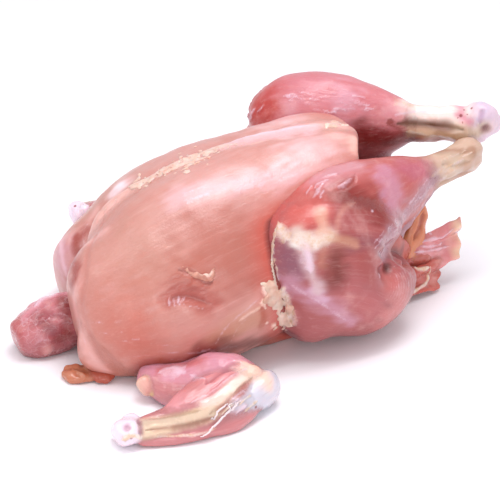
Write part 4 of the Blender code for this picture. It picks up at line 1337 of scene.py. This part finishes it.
# Fat over the keel and at the cut end of the breastbone, too thin to stand off it.
torso.brush([(353, 124), (355, 138), (355, 150)], 0.0060, (246, 204, 192), 0.8, 347)
torso.brush((338, 134), 0.012, (244, 196, 190), 0.8, 348)
for row in (
    ([(130, 187), (138, 184), (146, 180), (156, 177)], 0.0050, "cream", 0.85, 340, 0.0008, 0.8),
    ([(152, 177), (172, 167), (195, 156), (218, 149), (246, 144)],
     0.0062, "cream", 0.80, 341, 0.0008, 0.8),
    ([(165, 174), (185, 164), (208, 157)], 0.0030, "cream", 0.90, 342, 0.0006, 0.9),
    ([(98, 216), (114, 201), (130, 188)], 0.0012, "cream", 0.55, 343),
    ([(112, 211), (126, 198), (142, 189)], 0.0010, "cream", 0.50, 344),
    ([(246, 146), (266, 142), (290, 138)], 0.0024, "cream", 0.50, 345),
    ([(326, 126), (338, 122), (348, 121), (355, 123)], 0.0028, "cream", 0.85, 346, 0.0007, 0.8),
):
    torso.mark(*row)

# Beige meat over the ribs under the leg, with dark brown painted shade where it turns under the bird.
torso.brush([(214, 340), (236, 328), (262, 314)], 0.0110, (202, 148, 124), 0.85, 350, mirror=True)
# Painted shade: dark brown along the underside.
torso.brush([(200, 352), (226, 349), (254, 343), (272, 338)],
            0.0100, (128, 62, 44), 0.85, 351, mirror=True)
torso.brush([(262, 309), (264, 318), (262, 326)], 0.0040, (176, 92, 56), 0.9, 356)
for row in (
    ([(262, 286), (268, 296), (272, 304)], 0.0060, "cream", 0.8, 352, 0.0012, 0.8),
    ([(262, 300), (266, 310)], 0.0030, "cream", 0.9, 355, 0.0010, 0.8),
    ([(238, 322), (250, 314), (262, 306)], 0.0020, "cream", 0.6, 353, 0.0004),
    ([(266, 322), (276, 326)], 0.0040, "cream", 0.8, 354, 0.0010, 0.8),
):
    torso.mark(*row)


def contact(piece, others, reach):
    """1 where a piece touches one of the others, falling to 0 at reach."""
    value = np.zeros(len(piece.points))
    for other in others:
        gaps = [other.tree.find_nearest(Vector(point), reach)[3] for point in piece.points]
        gaps = np.array([reach if gap is None else gap for gap in gaps])
        value = np.maximum(value, 1 - gaps / reach)
    return value


# Painted shade: the torso darkens to orange, then dark red, where it meets the legs, and to dark red
# where it meets the wings and neck.
leg_crease_shade = contact(torso, legs, 0.016)
leg_crease_shade *= np.clip((0.092 - torso.points[:, 2]) / 0.016, 0.35, 1)
torso.stain(CREASE_SHADE_ORANGE, np.clip(leg_crease_shade * 1.3, 0, 1) ** 1.3 * 0.85)
torso.stain(CREASE_SHADE_RED, np.clip(leg_crease_shade * 5.0 - 4.0, 0, 1) * 0.95)
joint_crease_shade = contact(torso, wings + [neck], 0.008)
torso.stain((160, 76, 66), np.clip(joint_crease_shade * 1.6 - 0.4, 0, 1) * 0.8)
torso_flesh = flesh_material("torso_flesh", grain=0.60, mottle=0.38, roughness=0.38, coat=0.28,
                             gloss=0.75, fat=((242, 204, 190), (230, 184, 164)))
torso.done(torso_flesh)


# Fat.
# Soft cream fat left on the bird: a lumpy band along the keel, crumbs at the cut end of
# the breastbone, and beads and torn pads in the crease of the near leg.
def nearest_seen(pixel, pieces):
    """The place and the piece that a photo pixel shows, or None twice."""
    found = [(np.linalg.norm(hit - camera_place), hit, piece)
             for piece in pieces for hit in [piece.seen(pixel)] if hit is not None]
    return min(found, key=lambda one: one[0])[1:] if found else (None, None)


def fat_object(name, spots, pieces, tints, seed, voxel, flat):
    """Flattened lumps (pixel x, pixel y, radius) pressed on the surface and fused."""
    chance = np.random.default_rng(seed)
    ball = bmesh.new()
    bmesh.ops.create_icosphere(ball, subdivisions=3, radius=1.0)
    ball_points = np.array([tuple(vertex.co) for vertex in ball.verts])
    ball_faces = [tuple(vertex.index for vertex in face.verts) for face in ball.faces]
    ball.free()
    lumps = []
    for x, y, radius in spots:
        place, piece = nearest_seen((x, y), pieces)
        if place is None:
            continue
        normal = np.array(piece.tree.find_nearest(Vector(place))[1])
        points = ball_points * (1 + 0.25 * wobble(ball_points, 0.9, int(chance.integers(1e6))))[:, None]
        points = points * radius * chance.uniform(0.7, 1.3, 3)
        points = points - np.outer((points @ normal) * flat, normal) + place
        share = chance.uniform(0, 1)
        tint = srgb(tints[0]) * (1 - share) + srgb(tints[1]) * share
        lumps.append({"points": points, "faces": ball_faces, "straight": points,
                      "tint": tint, "wet": 0.6})
    made = Flesh(name, lumps, voxel, smooth=3, blur=3)
    made.uneven(0.0035, 0.00022, seed + 1)
    return made


chance = np.random.default_rng(300)
fat_flesh = flesh_material("fat", grain=0.1, mottle=0.5, roughness=0.38, coat=0.3, inner=0.35)
KEEL_FAT_LINE = [(104, 210), (130, 187), (152, 177), (172, 167), (195, 157), (220, 149), (250, 143)]
keel_spots = []
for n in range(300):
    t = chance.uniform(0, 1)
    x, y = spline(KEEL_FAT_LINE, np.array([t]))[0]
    big = math.exp(-((t - 0.60) / 0.20) ** 2) + 0.7 * math.exp(-((t - 0.24) / 0.06) ** 2)
    aside = chance.normal() * (0.6 + 3.6 * big) + 1.5 * big
    radius = 0.0005 + (0.0012 * big + 0.0002) * chance.uniform(0.3, 1)
    keel_spots.append((x + aside * 0.45, y + aside, radius))
keel_fat = fat_object("keel_fat", keel_spots, [torso], ((242, 206, 196), (234, 188, 172)),
                      301, 0.0005, 0.70)
keel_fat.done(fat_flesh)
sternum_spots = [(326 + 30 * t, 127 - 5 * t + chance.normal() * 1.4, chance.uniform(0.0005, 0.0013))
                 for t in chance.uniform(0, 1, 40)]
sternum_fat = fat_object("sternum_fat", sternum_spots, [torso], ((248, 216, 204), (240, 196, 180)), 310,
                         0.0005, 0.55)
sternum_fat.done(fat_flesh)
crease_spots = [(276 - 4 * math.sin(math.pi * n / 60), 228 + n * 0.95 + chance.normal() * 0.6,
                 chance.uniform(0.0007, 0.0013)) for n in range(60)]
for n in range(80):
    down = chance.uniform(0, 1)
    left, right = 262 + 12 * down, 272 + 24 * min(2.4 * down, 1) - 6 * down
    x, y = chance.uniform(left, right), 283 + 46 * down
    if abs(x - 268 - 6 * down) < 3 and 0.55 < down < 0.85:
        continue
    crease_spots.append((x, y, chance.uniform(0.0010, 0.0024)))
crease_fat = fat_object("crease_fat", crease_spots, [torso, near_leg], ((234, 206, 192), (212, 170, 152)),
                        320, 0.0005, 0.74)
crease_fat.done(fat_flesh)


# Breast nick.
# The torn lip of the nick in the near breast: a thin tongue of muscle with a pale edge,
# loose along its lower side.
LIP_SPOTS = (
    (183, 267, 0.0007), (187, 270, 0.0012), (191, 273, 0.0017), (196, 275, 0.0020), (201, 277, 0.0022),
    (205, 278, 0.0021), (209, 278, 0.0018), (212, 275, 0.0013), (213, 271, 0.0009), (214, 268, 0.0006),
)
nick_lip = fat_object("nick_lip", LIP_SPOTS, [torso], ((216, 158, 140), (208, 146, 128)),
                      331, 0.0004, 0.62)
nick_lip.brush([(183, 266), (192, 270), (200, 273), (207, 275)], 0.0011, (250, 226, 214), 0.95, 332)
nick_lip.brush([(208, 276), (212, 272), (214, 268)], 0.0012, (246, 214, 202), 0.9, 333)
nick_lip.done(torso_flesh)
